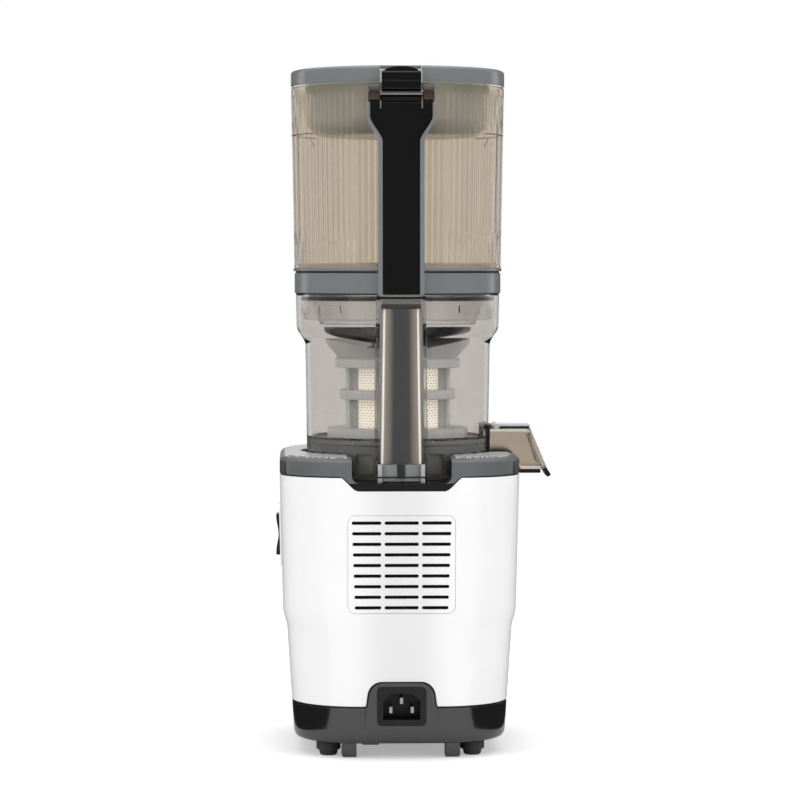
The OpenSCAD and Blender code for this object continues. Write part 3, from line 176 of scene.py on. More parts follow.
def pressed(outline, start, end, along):
    """Gives an outline a thickness: (x, y) along z, (x, z) along y, or (y, z) along x."""
    place = {"x": lambda u, v, t: (t, u, v), "y": lambda u, v, t: (u, t, v), "z": lambda u, v,
             t: (u, v, t)}[along]
    return stacked([[place(u, v, t) for u, v in outline] for t in (start, end)])


def rounded(w, h, r, steps=8, centre=(0.0, 0.0)):
    """A rounded rectangle as points."""
    points = []
    for quarter, (sx, sy) in enumerate(((1, 1), (-1, 1), (-1, -1), (1, -1))):
        for k in range(steps + 1):
            a = math.pi / 2 * (quarter + k / steps)
            points.append((centre[0] + sx * (w / 2 - r) + r * math.cos(a),
                           centre[1] + sy * (h / 2 - r) + r * math.sin(a)))
    return points


def oblong(u0, u1, v0, v1):
    """A plain rectangle as points."""
    return [(u0, v0), (u1, v0), (u1, v1), (u0, v1)]


def arc(cu, cv, r, degrees):
    """Points round a centre at the given angles."""
    return [(cu + r * math.cos(math.radians(a)), cv + r * math.sin(math.radians(a))) for a in degrees]


def disc(cu, cv, r, steps):
    return [(cu + r * math.cos(2 * math.pi * k / steps), cv + r * math.sin(2 * math.pi * k / steps))
            for k in range(steps)]


def flipped(points):
    """The other half of a symmetrical outline."""
    return [(-x, z) for x, z in reversed(points)]


def polar(r, a, z, aside=0.0):
    """A point at a radius, an angle and a height, moved aside along the tangent."""
    return (r * math.cos(a) - aside * math.sin(a), r * math.sin(a) + aside * math.cos(a), z)


def sector(r0, r1, turn, reach):
    """Part of a ring, from the outer radius r0 to the inner r1, either side of an angle in degrees."""
    degrees = [turn + d for d in (-reach, -5, 0, 5, reach)]
    return arc(0, 0, r0, degrees) + arc(0, 0, r1, degrees[::-1])


# %% [markdown]
# ## Cutting and naming
# Openings are cut with exact booleans, which keep thin walls clean. Every finished piece then goes through
# one function: it rounds the sharp edges a little, gives the finish, hangs the piece on the body that it
# rides on, and hides the parts of the frame that it stands for.

# %% Joining, cutting and softening
def as_object(shape, name="cutter"):
    mesh = bpy.data.meshes.new(name)
    shape.to_mesh(mesh)
    shape.free()
    made = bpy.data.objects.new(name, mesh)
    bpy.context.scene.collection.objects.link(made)
    return made


def carve(shape, others, operation="DIFFERENCE"):
    """Cuts other shapes out of a shape, or joins them to it, and returns the new shape."""
    body = as_object(shape, "blank")
    helpers = [as_object(other) for other in others]
    for helper in helpers:
        step = body.modifiers.new("carve", "BOOLEAN")
        step.operation, step.solver, step.object = operation, "EXACT", helper
    result = bpy.data.meshes.new_from_object(body.evaluated_get(bpy.context.evaluated_depsgraph_get()))
    carved = bmesh.new()
    carved.from_mesh(result)
    bpy.data.meshes.remove(result)
    for used in [body] + helpers:
        mesh = used.data
        bpy.data.objects.remove(used)
        bpy.data.meshes.remove(mesh)
    return carved


def joined(shapes):
    """Puts separate shapes into one mesh without a boolean."""
    whole = bmesh.new()
    for shape in shapes:
        mesh = bpy.data.meshes.new("part")
        shape.to_mesh(mesh)
        shape.free()
        whole.from_mesh(mesh)
        bpy.data.meshes.remove(mesh)
    return whole


def assign(shape, choose):
    """A rule chooses the finish of each face by its middle, in millimetres, and its normal's height."""
    for face in shape.faces:
        c = face.calc_center_median()
        face.material_index = int(choose(c.x / MM - AXIS[0], c.y / MM - AXIS[1], c.z / MM, face.normal.z))


def soften(piece, bevel, crease):
    """Rounds the edges sharper than an angle, in millimetres and degrees."""
    soft = piece.modifiers.new("softened edges", "BEVEL")
    soft.width, soft.segments, soft.limit_method = bevel * MM, 2, "ANGLE"
    soft.angle_limit, soft.use_clamp_overlap = math.radians(crease), True


def settle(name, shape, body, nodes, finish, edge=0.0, crease=32.0):
    """Makes a named piece of a shape, with its finish and its body, and hides the CAD nodes that it stands
    for.
    """
    piece = as_object(shape, name)
    piece.data.shade_smooth()
    piece.data.set_sharp_from_angle(angle=math.radians(crease))
    if edge:
        soften(piece, edge, crease)
    for one in finish if isinstance(finish, list) else [finish]:
        piece.data.materials.append(one)
    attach(piece, body)
    if nodes:
        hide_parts(*nodes)
    print(name, "has", len(piece.data.polygons), "faces")
    return piece


# %% [markdown]
# ## Building materials from nodes
# A finish is more than a colour. Moulded plastic has a faint unevenness in its gloss, clear plastic carries
# flow lines, and steel shows how it was worked. One small function adds a node with its settings and links,
# and one turns the hex colour that a paint chart would give into the linear values that the shader expects.

# %% Colours and nodes
def linear(code):
    """Turns an sRGB hex colour into linear red, green, blue and alpha."""
    parts = [int(code[k:k + 2], 16) / 255 for k in (0, 2, 4)]
    return tuple(c / 12.92 if c <= 0.04045 else ((c + 0.055) / 1.055) ** 2.4 for c in parts) + (1.0,)


def shader_of(material):
    return material.node_tree.nodes["Principled BSDF"]


def tune(material, values):
    """Sets inputs of a finish's shader by their names."""
    for name, value in values.items():
        shader_of(material).inputs[name].default_value = value
    return material


def blank_finish(name, values):
    material = bpy.data.materials.new(name)
    material.use_nodes = True
    return tune(material, values)


def add(owner, kind, values=()):
    """Adds one node. Values go to the sockets of that name or number, or to the node; outputs are linked."""
    made = owner.node_tree.nodes.new("ShaderNode" + kind)
    for key, value in dict(values).items():
        if isinstance(value, bpy.types.NodeSocket):
            owner.node_tree.links.new(value, made.inputs[key])
        elif isinstance(key, int) or key in made.inputs:
            made.inputs[key].default_value = value
        else:
            setattr(made, key, value)
    return made


def maths(owner, operation, *values):
    """One arithmetic node on outputs or numbers; gives its result."""
    return add(owner, "Math", {"operation": operation, **dict(enumerate(values))}).outputs[0]


def mapped(owner, value, start, end, first=0.0, last=1.0, smooth=False):
    """Maps one range of values to another, evenly or in a smooth step."""
    kind = "SMOOTHSTEP" if smooth else "LINEAR"
    return add(owner, "MapRange", {"From Min": start, "From Max": end, "To Min": first, "To Max": last,
                                   "interpolation_type": kind, "Value": value}).outputs["Result"]


def ramp(owner, factor, stops):
    """A colour ramp through (place, colour) stops."""
    made = add(owner, "ValToRGB", {"Fac": factor})
    for k, (place, colour) in enumerate(stops):
        stop = made.color_ramp.elements[k] if k < 2 else made.color_ramp.elements.new(place)
        stop.position, stop.color = place, colour
    return made.outputs["Color"]


def connect(material, output, socket):
    material.node_tree.links.new(output, shader_of(material).inputs[socket])


def colour_of(material):
    """What feeds the finish's colour now, so that a later node can change it."""
    return shader_of(material).inputs["Base Color"].links[0].from_socket


def repaint(material, mask, code):
    """Mixes a second colour into a finish where the mask is one."""
    mix = add(material, "Mix", {"data_type": "RGBA", 0: mask, 6: colour_of(material), 7: linear(code)})
    connect(material, mix.outputs[2], "Base Color")


def from_axis(material):
    """Where a point lies: its three coordinates, and how far it is aside from the drum's axis."""
    split = add(material, "SeparateXYZ", {"Vector": add(material, "TexCoord").outputs["Object"]})
    return split, maths(material, "SUBTRACT", split.outputs["X"], AXIS[0] * MM)


def shaded(colour, factor):
    return [min(1.0, c * factor) for c in colour[:3]] + [1.0]


def varied(material, base, tint_by, gloss_by, tints, places, roughness, glosses, relief=None):
    """Lets noise vary colour and gloss, and raise a relief of (strength, depth in millimetres)."""
    connect(material, ramp(material, tint_by, [(place, shaded(base, t)) for place, t in zip(places, tints)]),
            "Base Color")
    gloss = mapped(material, gloss_by, 0.0, 1.0, roughness * glosses[0], roughness * glosses[1])
    connect(material, gloss, "Roughness")
    if relief:
        bump = add(material, "Bump", {"Strength": relief[0], "Distance": relief[1] * MM, "Height": gloss_by})
        connect(material, bump.outputs["Normal"], "Normal")


# %% [markdown]
# ## Moulded plastic
# Most parts are injection moulded: the melt is pressed against a steel mould, and its surface copies that of
# the steel. A polished mould gives gloss, a spark-eroded one a fine grain. Both keep a slight unevenness from
# shrinkage, which the eye reads as real plastic: reflections waver a little, and the colour isn't quite even.

# %% A recipe for moulded plastic
SHRINK_MM = 26.0


def moulded(name, colour, roughness, grain_mm, grain_depth, specular=0.5, cloud=0.05, coat=0.0):
    """Opaque moulded plastic with a cloudy colour, an uneven gloss and a surface grain of a real size."""
    material = blank_finish(name, {"IOR": 1.53, "Specular IOR Level": specular, "Coat Weight": coat,
                                   "Coat Roughness": 0.06})
    where = add(material, "TexCoord").outputs["Object"]
    shrink = add(material, "TexNoise", {"Scale": 1 / (SHRINK_MM * MM), "Detail": 2.0, "Vector": where})
    grain = add(material, "TexNoise", {"Scale": 1 / (grain_mm * MM), "Detail": 3.0, "Vector": where})
    varied(material, linear(colour), shrink.outputs["Fac"], grain.outputs["Fac"], (1 - cloud, 1 + cloud),
           (0.3, 0.7), roughness, (0.85, 1.2), (0.35, grain_depth))
    return material


# Glossy white ABS from a polished mould: bright, with soft broad highlights
white_abs = moulded("white_abs_polished", "fcfcfc", 0.2, 1.6, 0.02, cloud=0.012)
# Painted shade: a soft grey band, painted down the middle by the distance from the drum's axis, darkens the
# white there
SHADE_BAND_FULL, SHADE_BAND_HALF = 6.0, 38.0
shade_band_x = maths(white_abs, "ABSOLUTE", from_axis(white_abs)[1])
painted_shade_band = mapped(white_abs, shade_band_x, SHADE_BAND_FULL * MM, SHADE_BAND_HALF * MM, smooth=True)
painted_shade_mix = add(white_abs, "Mix", {"data_type": "RGBA", 0: painted_shade_band, 6: linear("ebebeb"),
                                  7: colour_of(white_abs)})
connect(white_abs, painted_shade_mix.outputs[2], "Base Color")
# Grey ABS with a pearl pigment, polished: shows clear bands of light along the lid and band
pearl_grey_abs = moulded("grey_abs_pearl", "7a7d7f", 0.2, 1.2, 0.012, specular=0.5, cloud=0.03, coat=0.1)
# The same pearl grey, painted paler as a highlight: two thin plates stand for edges that catch the light
pale_grey_highlight = moulded("grey_abs_painted_highlight", "b4b6b8", 0.25, 1.0, 0.01, cloud=0.03)
# Underside of the lid: a faint painted glow stands in for the daylight that its thin wall lets through
lid_underside_glow = moulded("grey_abs_underside_glow", "c9c6bf", 0.4, 1.0, 0.01, cloud=0.03)
tune(lid_underside_glow, {"Emission Color": linear("d8d5cc"), "Emission Strength": 0.75})
# Satin grey ABS of the deck, from a fine-eroded mould
satin_grey_abs = moulded("grey_abs_satin", "636567", 0.34, 0.7, 0.02, cloud=0.04)
# Painted reflection: where the deck's upright faces turn edge-on, their colour goes to a black line and a
# dark strip, for the dark room that the polished corners mirror
PAINTED_REFLECTION_STRIP = ((0.0, 0.0), (0.57, 0.0), (0.585, 1.0), (0.62, 1.0), (0.65, 0.6), (1.0, 0.6))
deck_lean = add(satin_grey_abs, "LayerWeight", {"Blend": 0.5}).outputs["Facing"]
deck_painted_reflection = ramp(satin_grey_abs, deck_lean, [(p, (v, v, v, 1)) for p, v in PAINTED_REFLECTION_STRIP])
deck_normal = add(satin_grey_abs, "SeparateXYZ",
                  {"Vector": add(satin_grey_abs, "NewGeometry").outputs["Normal"]})
deck_upright = maths(satin_grey_abs, "LESS_THAN", deck_normal.outputs["Z"], 0.25)
repaint(satin_grey_abs, maths(satin_grey_abs, "MULTIPLY", deck_painted_reflection, deck_upright), "121213")
# Charcoal ABS of the base pan, from a polished mould, so the studio shows in it as dark and light fields
charcoal_abs = moulded("charcoal_abs_polished", "1b1b1b", 0.12, 1.4, 0.01, specular=1.0, cloud=0.06)
# Black ABS, polished like piano lacquer
black_abs = moulded("black_abs_polished", "080809", 0.12, 1.8, 0.01, specular=0.25, cloud=0.15, coat=0.05)
# Black acetal of rocker, inlet, fan and gap strips: a dull, slightly waxy black; on the gap strips it is
# painted shade
black_acetal = moulded("black_acetal_satin", "131314", 0.38, 0.6, 0.02, specular=0.35, cloud=0.15)
# Black polyetherimide of the screw: hard, dense and satin
screw_plastic = moulded("black_polyetherimide_moulded", "060606", 0.25, 0.9, 0.02, specular=0.12, cloud=0.2)
# Grey glass-filled polyamide of the strainer's cage: the fibres leave a fine mottle
cage_plastic = moulded("grey_polyamide_glass_filled", "b0b2b2", 0.38, 0.8, 0.03, cloud=0.06)
# Warm grey polypropylene of the sleeve behind the skirt's windows
sleeve_plastic = moulded("warm_grey_polypropylene", "8f897f", 0.45, 1.2, 0.02, cloud=0.05)
# Dark print of the fill mark
mark_print = moulded("brown_print", "4a443c", 0.5, 0.8, 0.01)
# Frosted pale ribs of the column's foot
frosted_pale = moulded("frosted_pale_grey", "b9bcbc", 0.5, 0.6, 0.03, cloud=0.05)
# Collar of the band ring, seen through the hopper's wall
collar_grey = moulded("grey_abs_collar", "a4a5a3", 0.4, 1.2, 0.012, cloud=0.05)
print("moulded finishes:", len(bpy.data.materials))

# %% [markdown]
# ## Clear plastic
# Drum, hopper and spout are a tough clear copolyester with a smoky tint. The light passes two walls, in at
# the back and out at the front, so each wall must be paler than the colour that is seen. A Principled
# shader with full transmission bends light as the real wall does, and draws the dark edges of thick walls
# by itself. Mixing in a Transparent shader would render faster but would lose those edges.

# %% A recipe for tinted clear plastic
def clear_plastic(name, colour, roughness=0.03, ripple_mm=9.0, ripple_depth=0.02, bend=1.45, clear=1.0):
    """Tinted clear plastic with flow lines; the colour is what one wall lets through."""
    material = blank_finish(name, {"Transmission Weight": clear, "IOR": bend})
    where = add(material, "TexCoord").outputs["Object"]
    flow = add(material, "TexNoise", {"Scale": 1 / (ripple_mm * MM), "Detail": 1.5,
                                      "Vector": where}).outputs["Fac"]
    varied(material, linear(colour), flow, flow, (0.97, 1.03), (0.0, 1.0), roughness, (0.6, 1.4),
           (0.2, ripple_depth))
    return material


# Pale grey copolyester of the drum
drum_clear = clear_plastic("copolyester_pale_grey", "dcd9d6", 0.03, bend=1.3)
# Neck and funnel: paler and with a lower index, since four walls lie behind each other there
funnel_tint = clear_plastic("copolyester_frosted_pale", "f7f7f6", 0.12, bend=1.2)
# Smoky grey of the cup under the lid, and a darker one for the drum's floor and skirt
smoke_clear = clear_plastic("copolyester_smoke", "c2c6c9", 0.2, clear=0.6)
skirt_clear = clear_plastic("copolyester_dark_smoke", "8a8a88", 0.25, clear=0.45)
# Bronze of the hinge ears: thick, so the tint is strong
ear_clear = clear_plastic("copolyester_bronze_thick", "4a3a31", 0.05, 3.0, 0.06, clear=0.5)
# Column: as the drum but thicker and greyer
column_clear = clear_plastic("copolyester_grey_thick", "d6d4d2", 0.06, bend=1.1)
# Silver paint over black plastic: fine metal flakes under lacquer, so it shines softly
cap_paint = moulded("silver_paint_flake", "d6d7d8", 0.3, 0.4, 0.01, specular=0.7, cloud=0.05, coat=0.4)
tune(cap_paint, {"Metallic": 0.15})
print("clear finishes made")

# %% [markdown]
# ## Metal, silicone and rubber
# The hinge pin and blades are turned or stamped metal, so their marks run in one direction. Silicone and
# rubber are soft and dull: they scatter almost everything and only catch a broad sheen at their edges.

# %% Metals and soft parts
def metal(name, colour, roughness, scratch_mm, stretch):
    """Metal whose fine marks run along one direction, from stretched noise."""
    material = blank_finish(name, {"Metallic": 1.0})
    where = add(material, "TexCoord").outputs["Object"]
    along = add(material, "Mapping", {"Scale": stretch, "Vector": where}).outputs["Vector"]
    marks = add(material, "TexNoise", {"Scale": 1 / (scratch_mm * MM), "Detail": 4.0,
                                       "Vector": along}).outputs["Fac"]
    varied(material, linear(colour), marks, marks, (0.82, 1.0), (0.0, 1.0), roughness, (0.7, 1.3))
    return material


def soft_rubber(name, colour, roughness=0.7, grain_mm=0.8):
    """Moulded rubber or silicone: dull, with a fine grain and a faint sheen."""
    material = moulded(name, colour, roughness, grain_mm, 0.04, specular=0.3, cloud=0.1)
    return tune(material, {"Sheen Weight": 0.15, "Sheen Roughness": 0.4})


steel_drawn = metal("stainless_steel_drawn", "c9c9cb", 0.22, 0.5, (0.1, 1.0, 1.0))
steel_polished = metal("steel_polished", "8f8f92", 0.1, 0.8, (0.1, 1.0, 1.0))
steel_turned = metal("steel_turned", "b9bbbe", 0.3, 0.6, (1.0, 1.0, 0.2))
aluminium_cast = metal("aluminium_die_cast", "a9adb2", 0.48, 1.5, (1.0, 1.0, 1.0))
brass_hobbed = metal("brass_hobbed", "c9a24e", 0.32, 0.7, (1.0, 1.0, 0.3))
silicone_black = soft_rubber("silicone_black", "161616", 0.5)
silicone_pale = soft_rubber("silicone_translucent_beige", "efe8dc", 0.5)
rubber_foot = soft_rubber("rubber_moulded", "3c3c3c", 0.75)
magnet_ferrite = moulded("ferrite_sintered", "2b2b2e", 0.55, 0.4, 0.03, specular=0.5, cloud=0.1)
print("finishes so far:", len(bpy.data.materials))

# %% [markdown]
# ## The white housing
# The housing is one moulded shell that widens upwards. Its corners keep one radius all the way, the sides
# have a soft step a third of the way up, and rear and front lean out a little. Stacking rounded rectangles
# gives exactly this form. The outer skin runs up and the inner one down again, so the shell has a real
# wall, and the openings for vents, inlet, switch and the deck's lip are cut through it.

# %% The housing's outline at any height
BODY_W, BODY_D = width("body_shell", 0), width("body_shell", 1)
FOOT_W, FOOT_D = width("base_pan"), 2 * (AXIS[1] - low("base_pan", 1))
BODY_CORNER, BODY_WALL = 46.0, 2.5
STEP_LOW, STEP_TOP, STEP_DEPTH, UPPER_TAPER = 84.0, 95.0, 2.7, 2.16
REAR_Y = BODY_D / 2


def eased(t):
    t = min(1.0, max(0.0, t))
    return t * t * (3 - 2 * t)


def body_width(z):
    upper = BODY_W - 2 * UPPER_TAPER * (DECK_Z - z) / (DECK_Z - STEP_TOP)
    waist = BODY_W - 2 * (UPPER_TAPER + STEP_DEPTH)
    lower = FOOT_W + (waist - FOOT_W) * (z - SEAM_Z) / (STEP_LOW - SEAM_Z)
    return lower + (upper - lower) * eased((z - STEP_LOW + 1) / (STEP_TOP - STEP_LOW + 2))


def body_depth(z):
    return BODY_D + (FOOT_D - BODY_D) * (DECK_Z - z) / (DECK_Z - SEAM_Z)


def body_ring(z, inset=0.0, width=None, depth=None, steps=14):
    w = (width or body_width(min(z, DECK_Z))) - 2 * inset
    d = (depth or body_depth(min(z, DECK_Z))) - 2 * inset
    return [(x, y, z) for x, y in rounded(w, d, BODY_CORNER - inset, steps)]


print("housing", round(BODY_W, 1), "x", round(BODY_D, 1), "at the top,", round(FOOT_W, 1), "x",
      round(FOOT_D, 1), "at the seam")

# %% [markdown]
# ## Openings in the wall
# The rear wall leans, so the cutter for the vent leans with it. The lip and the arch are outlines with a
# margin as their argument: the same function gives the hole in the housing and, a little smaller, the part
# that fills it.

# %% Openings of the housing
TRAY_Z = SKIRT_Z - 0.2
LIP_TOP_W, LIP_LOW_W, LIP_Z = 82.0, 54.0, low("deck", 2)
TILT = math.atan(((BODY_D - FOOT_D) / 2) / (DECK_Z - SEAM_Z))
VENT_Z, VENT_W, VENT_H = SEAM_Z + 94, 70.4, 64.4
SWITCH_W, SWITCH_H, SWITCH_Z = 16.4, 34.4, DECK_Z - 42.7
LIP_RISE, EDGE_Z = 1.4, DECK_Z + 1.5


def lip_outline(grow):
    """The S-shaped lip that the deck laps over the rear wall, in x and z."""
    curve = []
    for k in range(25):
        u = k / 24
        x = LIP_TOP_W / 2 + grow - u * (LIP_TOP_W - LIP_LOW_W) / 2
        curve.append((x, EDGE_Z - eased(u) * (EDGE_Z - LIP_Z - LIP_RISE + grow)))
    right = curve[::-1] + [(LIP_TOP_W / 2 + grow, RIM_Z + 3)]
    return flipped(right) + right


def leaning(shape):
    """Leans a cutter with the rear wall, about the vent's middle."""
    c, s = math.cos(TILT), math.sin(TILT)
    for v in shape.verts:
        y, z = v.co.y - (REAR_Y + AXIS[1]) * MM, v.co.z - VENT_Z * MM
        v.co.y, v.co.z = (REAR_Y + AXIS[1]) * MM + c * y + s * z, VENT_Z * MM - s * y + c * z
    return shape


def rear_cutter(outline, depth, out=6.0):
    """An outline pressed out at the rear wall, from a depth inside it."""
    return pressed(outline, REAR_Y - depth, REAR_Y + out, "y")


GAP, GAP_IN = 0.9, 0.7
levels = [SEAM_Z + GAP, SEAM_Z + GAP + 0.4, 50, 66, 78, 82, 84, 86, 88, 90, 92, 94, 96, 98, 112, 132, 156,
          174, EDGE_Z - GAP - 0.4, EDGE_Z - GAP]
insets = [0.4, 0.0] + [0.0] * (len(levels) - 4) + [0.0, 0.35]
outer = [body_ring(z, inset) for z, inset in zip(levels, insets)]
inner = [body_ring(z, BODY_WALL) for z in reversed(levels)]
vent_hole = leaning(rear_cutter(rounded(VENT_W, VENT_H, 5.2, 6, (0, VENT_Z)), 12))
ARCH_W, ARCH_R, ARCH_Z = 42.8, 9.5, SEAM_Z + 16.4


def arch_outline(grow):
    """The arch round the mains inlet, whose sides spread a little downwards."""
    side = arc(ARCH_W / 2 + grow - ARCH_R, ARCH_Z + grow - ARCH_R, ARCH_R, range(90, 9, -10))
    side += [(22.4 + grow, SEAM_Z + 1.2), (23.6 + grow, SEAM_Z - 0.2), (23.6 + grow, SEAM_Z - 14)]
    return side + flipped(side)


arch_hole = rear_cutter(arch_outline(GAP), 24)
switch_hole = pressed(rounded(SWITCH_W, SWITCH_H, 3.2, 5, (0, SWITCH_Z)), BODY_W / 2 - 15,
                      BODY_W / 2 + 9, "x")
lip_hole = rear_cutter(lip_outline(GAP), 25)
housing = carve(stacked(outer + inner, closed=True), [vent_hole, arch_hole, switch_hole, lip_hole])
settle("housing_white", housing, "base", ["body_shell"], white_abs, edge=0.3, crease=40)

# %% [markdown]
# ## Shadow gaps
# Where two mouldings meet, the eye looks for a dark line. A bare gap would show light from inside the shell,
# so a black ring of painted shade lies just behind each gap and closes it.

# %% Shadow gaps above and below the housing
def liner(low_z, high_z):
    """A black ring of painted shade just inside the housing's skin."""
    return stacked([body_ring(z, GAP_IN) for z in (low_z, high_z)]
                   + [body_ring(z, BODY_WALL) for z in (high_z, low_z)], closed=True)


def edging(ring, outline):
    """Keeps of a liner only the strip along an outline."""
    strip = carve(ring, [rear_cutter(outline(GAP + 0.2), 22)], "INTERSECT")
    return carve(strip, [rear_cutter(outline(0.1), 24, 8)])


seam_ring = carve(liner(SEAM_Z - 0.1, SEAM_Z + GAP + 0.2), [rear_cutter(arch_outline(0.2), 24)])
top_ring = liner(EDGE_Z - GAP - 0.2, EDGE_Z - 0.02)
lip_strip = edging(liner(LIP_Z - 2, EDGE_Z - 0.3), lip_outline)
arch_ring = edging(liner(SEAM_Z - 0.1, ARCH_Z + 3), arch_outline)
# Painted shade: the black strips behind the gaps
settle("gap_strips_painted_shade", joined([seam_ring, top_ring, lip_strip, arch_ring]), "base", [],
       black_acetal)

# %% [markdown]
# ## The rocker
# The rocker is one outline seen from the side, with a face hollowed by a sine curve, pressed out to its
# width. The frame keeps a flat face, and the hollow one shows the long highlight of a real switch.

# %% Rocker with its hollow face
rocker_in, rocker_x = reach("rocker_switch", 0)
rocker_z, rocker_half = height_of("rocker_switch"), width("rocker_switch", 2) / 2
rocker_face = [(rocker_in, rocker_z + rocker_half - 0.4)]
rocker_face += arc(rocker_x - 0.9, rocker_z + rocker_half - 0.9, 0.9, (90, 60, 30, 0))
rocker_face += [(rocker_x - 1.6 * math.sin(math.pi * (k + 1) / 14) ** 2,
                 rocker_z + (rocker_half - 1) * (1 - (k + 1) / 7)) for k in range(13)]
rocker_face += arc(rocker_x - 0.9, rocker_z - rocker_half + 0.9, 0.9, (0, -30, -60, -90))
rocker_face += [(rocker_in, rocker_z - rocker_half + 0.4)]
settle("rocker_black", pressed(rocker_face, *reach("rocker_switch", 1), "y"), "rocker", ["rocker_switch"],
       black_acetal, edge=0.3)
print("rocker", round(rocker_x, 2), "mm aside,", round(2 * rocker_half, 1), "mm high; bezel",
      round(high("switch_bezel", 0) - AXIS[0], 2))

# %% [markdown]
# ## The vent
# Slots are rounded rectangles cut in one go: all cutters are joined first, since one boolean with many
# shapes is much faster than many booleans. A black plate behind the slots hides the motor and keeps them
# dark: it is painted shade.

# %% Vent panel with tapering rows
def vent_slab(w, h, corner, steps, start, end, middle=(0, VENT_Z)):
    """A rounded slab that leans with the rear wall; start and end are measured from the wall, outwards."""
    return leaning(pressed(rounded(w, h, corner, steps, middle), WALL_Y + start, WALL_Y + end, "y"))


ROWS, ROW_PITCH, SLOT_H, WALL_Y = 9, 6.93, 2.2, body_depth(VENT_Z) / 2
slots = []
for k in range(ROWS):
    z, end = VENT_Z - 0.6 + (ROWS // 2 - k) * ROW_PITCH, 32.5 - 2.0 * k / (ROWS - 1)
    for x0, x1 in ((-end, -13.3), (-11.1, 11.1), (13.3, end)):
        slots.append(vent_slab(x1 - x0, SLOT_H, 0.9, 3, -9, 4, ((x0 + x1) / 2, z)))
vent = carve(vent_slab(VENT_W - 0.3, VENT_H - 0.3, 5.1, 6, -3.6, -0.3), [joined(slots)])
settle("vent_white", vent, "base", ["vent_panel"], white_abs, edge=0.3)
# Painted shade: a black plate behind the slots
settle("vent_baffle_painted_shade", vent_slab(VENT_W + 4, VENT_H + 4, 4.9, 6, -9.5, -8.5), "base", [],
       black_acetal)

# %% [markdown]
# ## The base pan
# The pan closes the housing from below. It is moulded in charcoal plastic with a fine texture, rounds inwards
# at its foot, and rises at the back in an arch round the mains inlet. It is stacked like the housing, so both
# share one outline at the seam, where only a thin shadow gap shows.

# %% Pan with its arch
PAN_TOP = SEAM_Z - 0.2
PAN_SHAPE = [(0.0, 6.0), (0.35, 4.4), (0.9, 3.2), (1.8, 2.4), (3.2, 1.75), (5.0, 1.2), (10.0, 0.85),
             (16.0, 0.45), (PAN_TOP - PAN_Z, 0.0)]
PAN_FOOT = low("foot_rear_left", 2) + 10.0
pan_outer = [body_ring(PAN_FOOT + up * (PAN_TOP - PAN_FOOT) / (PAN_TOP - PAN_Z), inset, FOOT_W, FOOT_D)
             for up, inset in PAN_SHAPE]
pan_inner = [body_ring(z, inset, FOOT_W, FOOT_D) for z, inset in ((PAN_TOP, 2.5), (PAN_FOOT + 6, 3.7),
        (PAN_FOOT + 2.5, 8.0))]
INLET_Z, INLET_Y = height_of("inlet_socket"), high("inlet_socket", 1) - AXIS[1]
INLET_W, INLET_H, arch_y = 28.7, 21.6, INLET_Y - 1.6
arch = pressed(arch_outline(0.0), arch_y - 4, arch_y, "y")
STAND = [(29.2, 0.3), (38.0, 0.3), (38.9, 1.6), (38.9, PAN_FOOT + 2), (29.2, PAN_FOOT + 2)]
stands = [rear_cutter([(side * x, z) for x, z in STAND], 30, -15.5) for side in (-1, 1)]
inlet_way = pressed(rounded(INLET_W, INLET_H, 0.4, 2, (0, INLET_Z)), arch_y - 42, arch_y + 4, "y")
pad = pressed(rounded(11, 6, 1, 4, (20, FOOT_D / 2 - 11.8)), PAN_FOOT - 1.3, PAN_FOOT + 1.0, "z")
pan = carve(carve(stacked(pan_outer + pan_inner), [arch, pad] + stands, "UNION"), [inlet_way])
settle("pan_charcoal", pan, "base", ["base_pan"], charcoal_abs, edge=0.5, crease=35)

# %% [markdown]
# ## Rubber feet
# Four turned rubber feet carry the machine. Each has a small step and a chamfered sole, which keeps the
# shadow line under the machine soft.

# %% Feet
for foot in ("foot_rear_left", "foot_rear_right", "foot_front_left", "foot_front_right"):
    middle = [sum(reach(foot, k)) / 2 for k in (0, 1)]
    sole = radius(foot)
    profile = [(0, 0.5), (sole - 4.6, 0.5), (sole - 4.2, 0), (sole - 3.4, 0), (sole - 2.6, 0.4),
               (sole - 2.2, 1.2), (sole - 1.9, 3.0), (sole - 1.5, 3.6), (sole - 0.5, 3.9), (sole, 4.5),
               (sole, 9.2), (sole - 0.5, 10.0), (0, 10.0)]
    settle(foot + "_rubber", turned(profile, 48, middle), "base", [foot], rubber_foot)

# %% [markdown]
# ## The deck
# A satin grey deck caps the housing. It has a broad bevel round its top, a lip at the back that dips in an
# S-curve over the white wall, a notch in which the drum's column stands, and a black tray inside. The deck is
# stacked from the housing's own outline, joined with its lip, and then the drum's space is cut out of it.

# %% Deck with its tray
NOTCH_W, CHUTE_W, DIP_Z, DIP_W = 65.0, width("pulp_chute") + 2, RIM_Z - 7.2, 38.0
HOLLOW_R, NOTCH_R = DRUM_R + 1.5, 5.0
bevel_rows = [(EDGE_Z, 0.25), (EDGE_Z + 0.3, 0.0), (RIM_Z - 3.0, 0.0), (RIM_Z - 2.4, 0.15),
              (RIM_Z - 1.2, 1.1), (RIM_Z - 0.5, 2.0), (RIM_Z, 3.4)]
deck_rim = stacked([body_ring(z, inset, BODY_W, BODY_D) for z, inset in bevel_rows])
deck_plug = stacked([body_ring(z, 2.8) for z in (LIP_Z, DECK_Z - 3, EDGE_Z + 1)])
lip = carve(stacked([body_ring(z) for z in (LIP_Z - 1, DECK_Z - 3, EDGE_Z + 0.5)]),
            [rear_cutter(lip_outline(0.0), 22)], "INTERSECT")
deck_solid = carve(deck_rim, [deck_plug, lip], "UNION")
notch = [(-NOTCH_W / 2, RIM_Z + 9)]
notch += arc(-NOTCH_W / 2 + NOTCH_R, TRAY_Z + NOTCH_R, NOTCH_R, [180 + 11.25 * k for k in range(9)])
notch += flipped(notch)
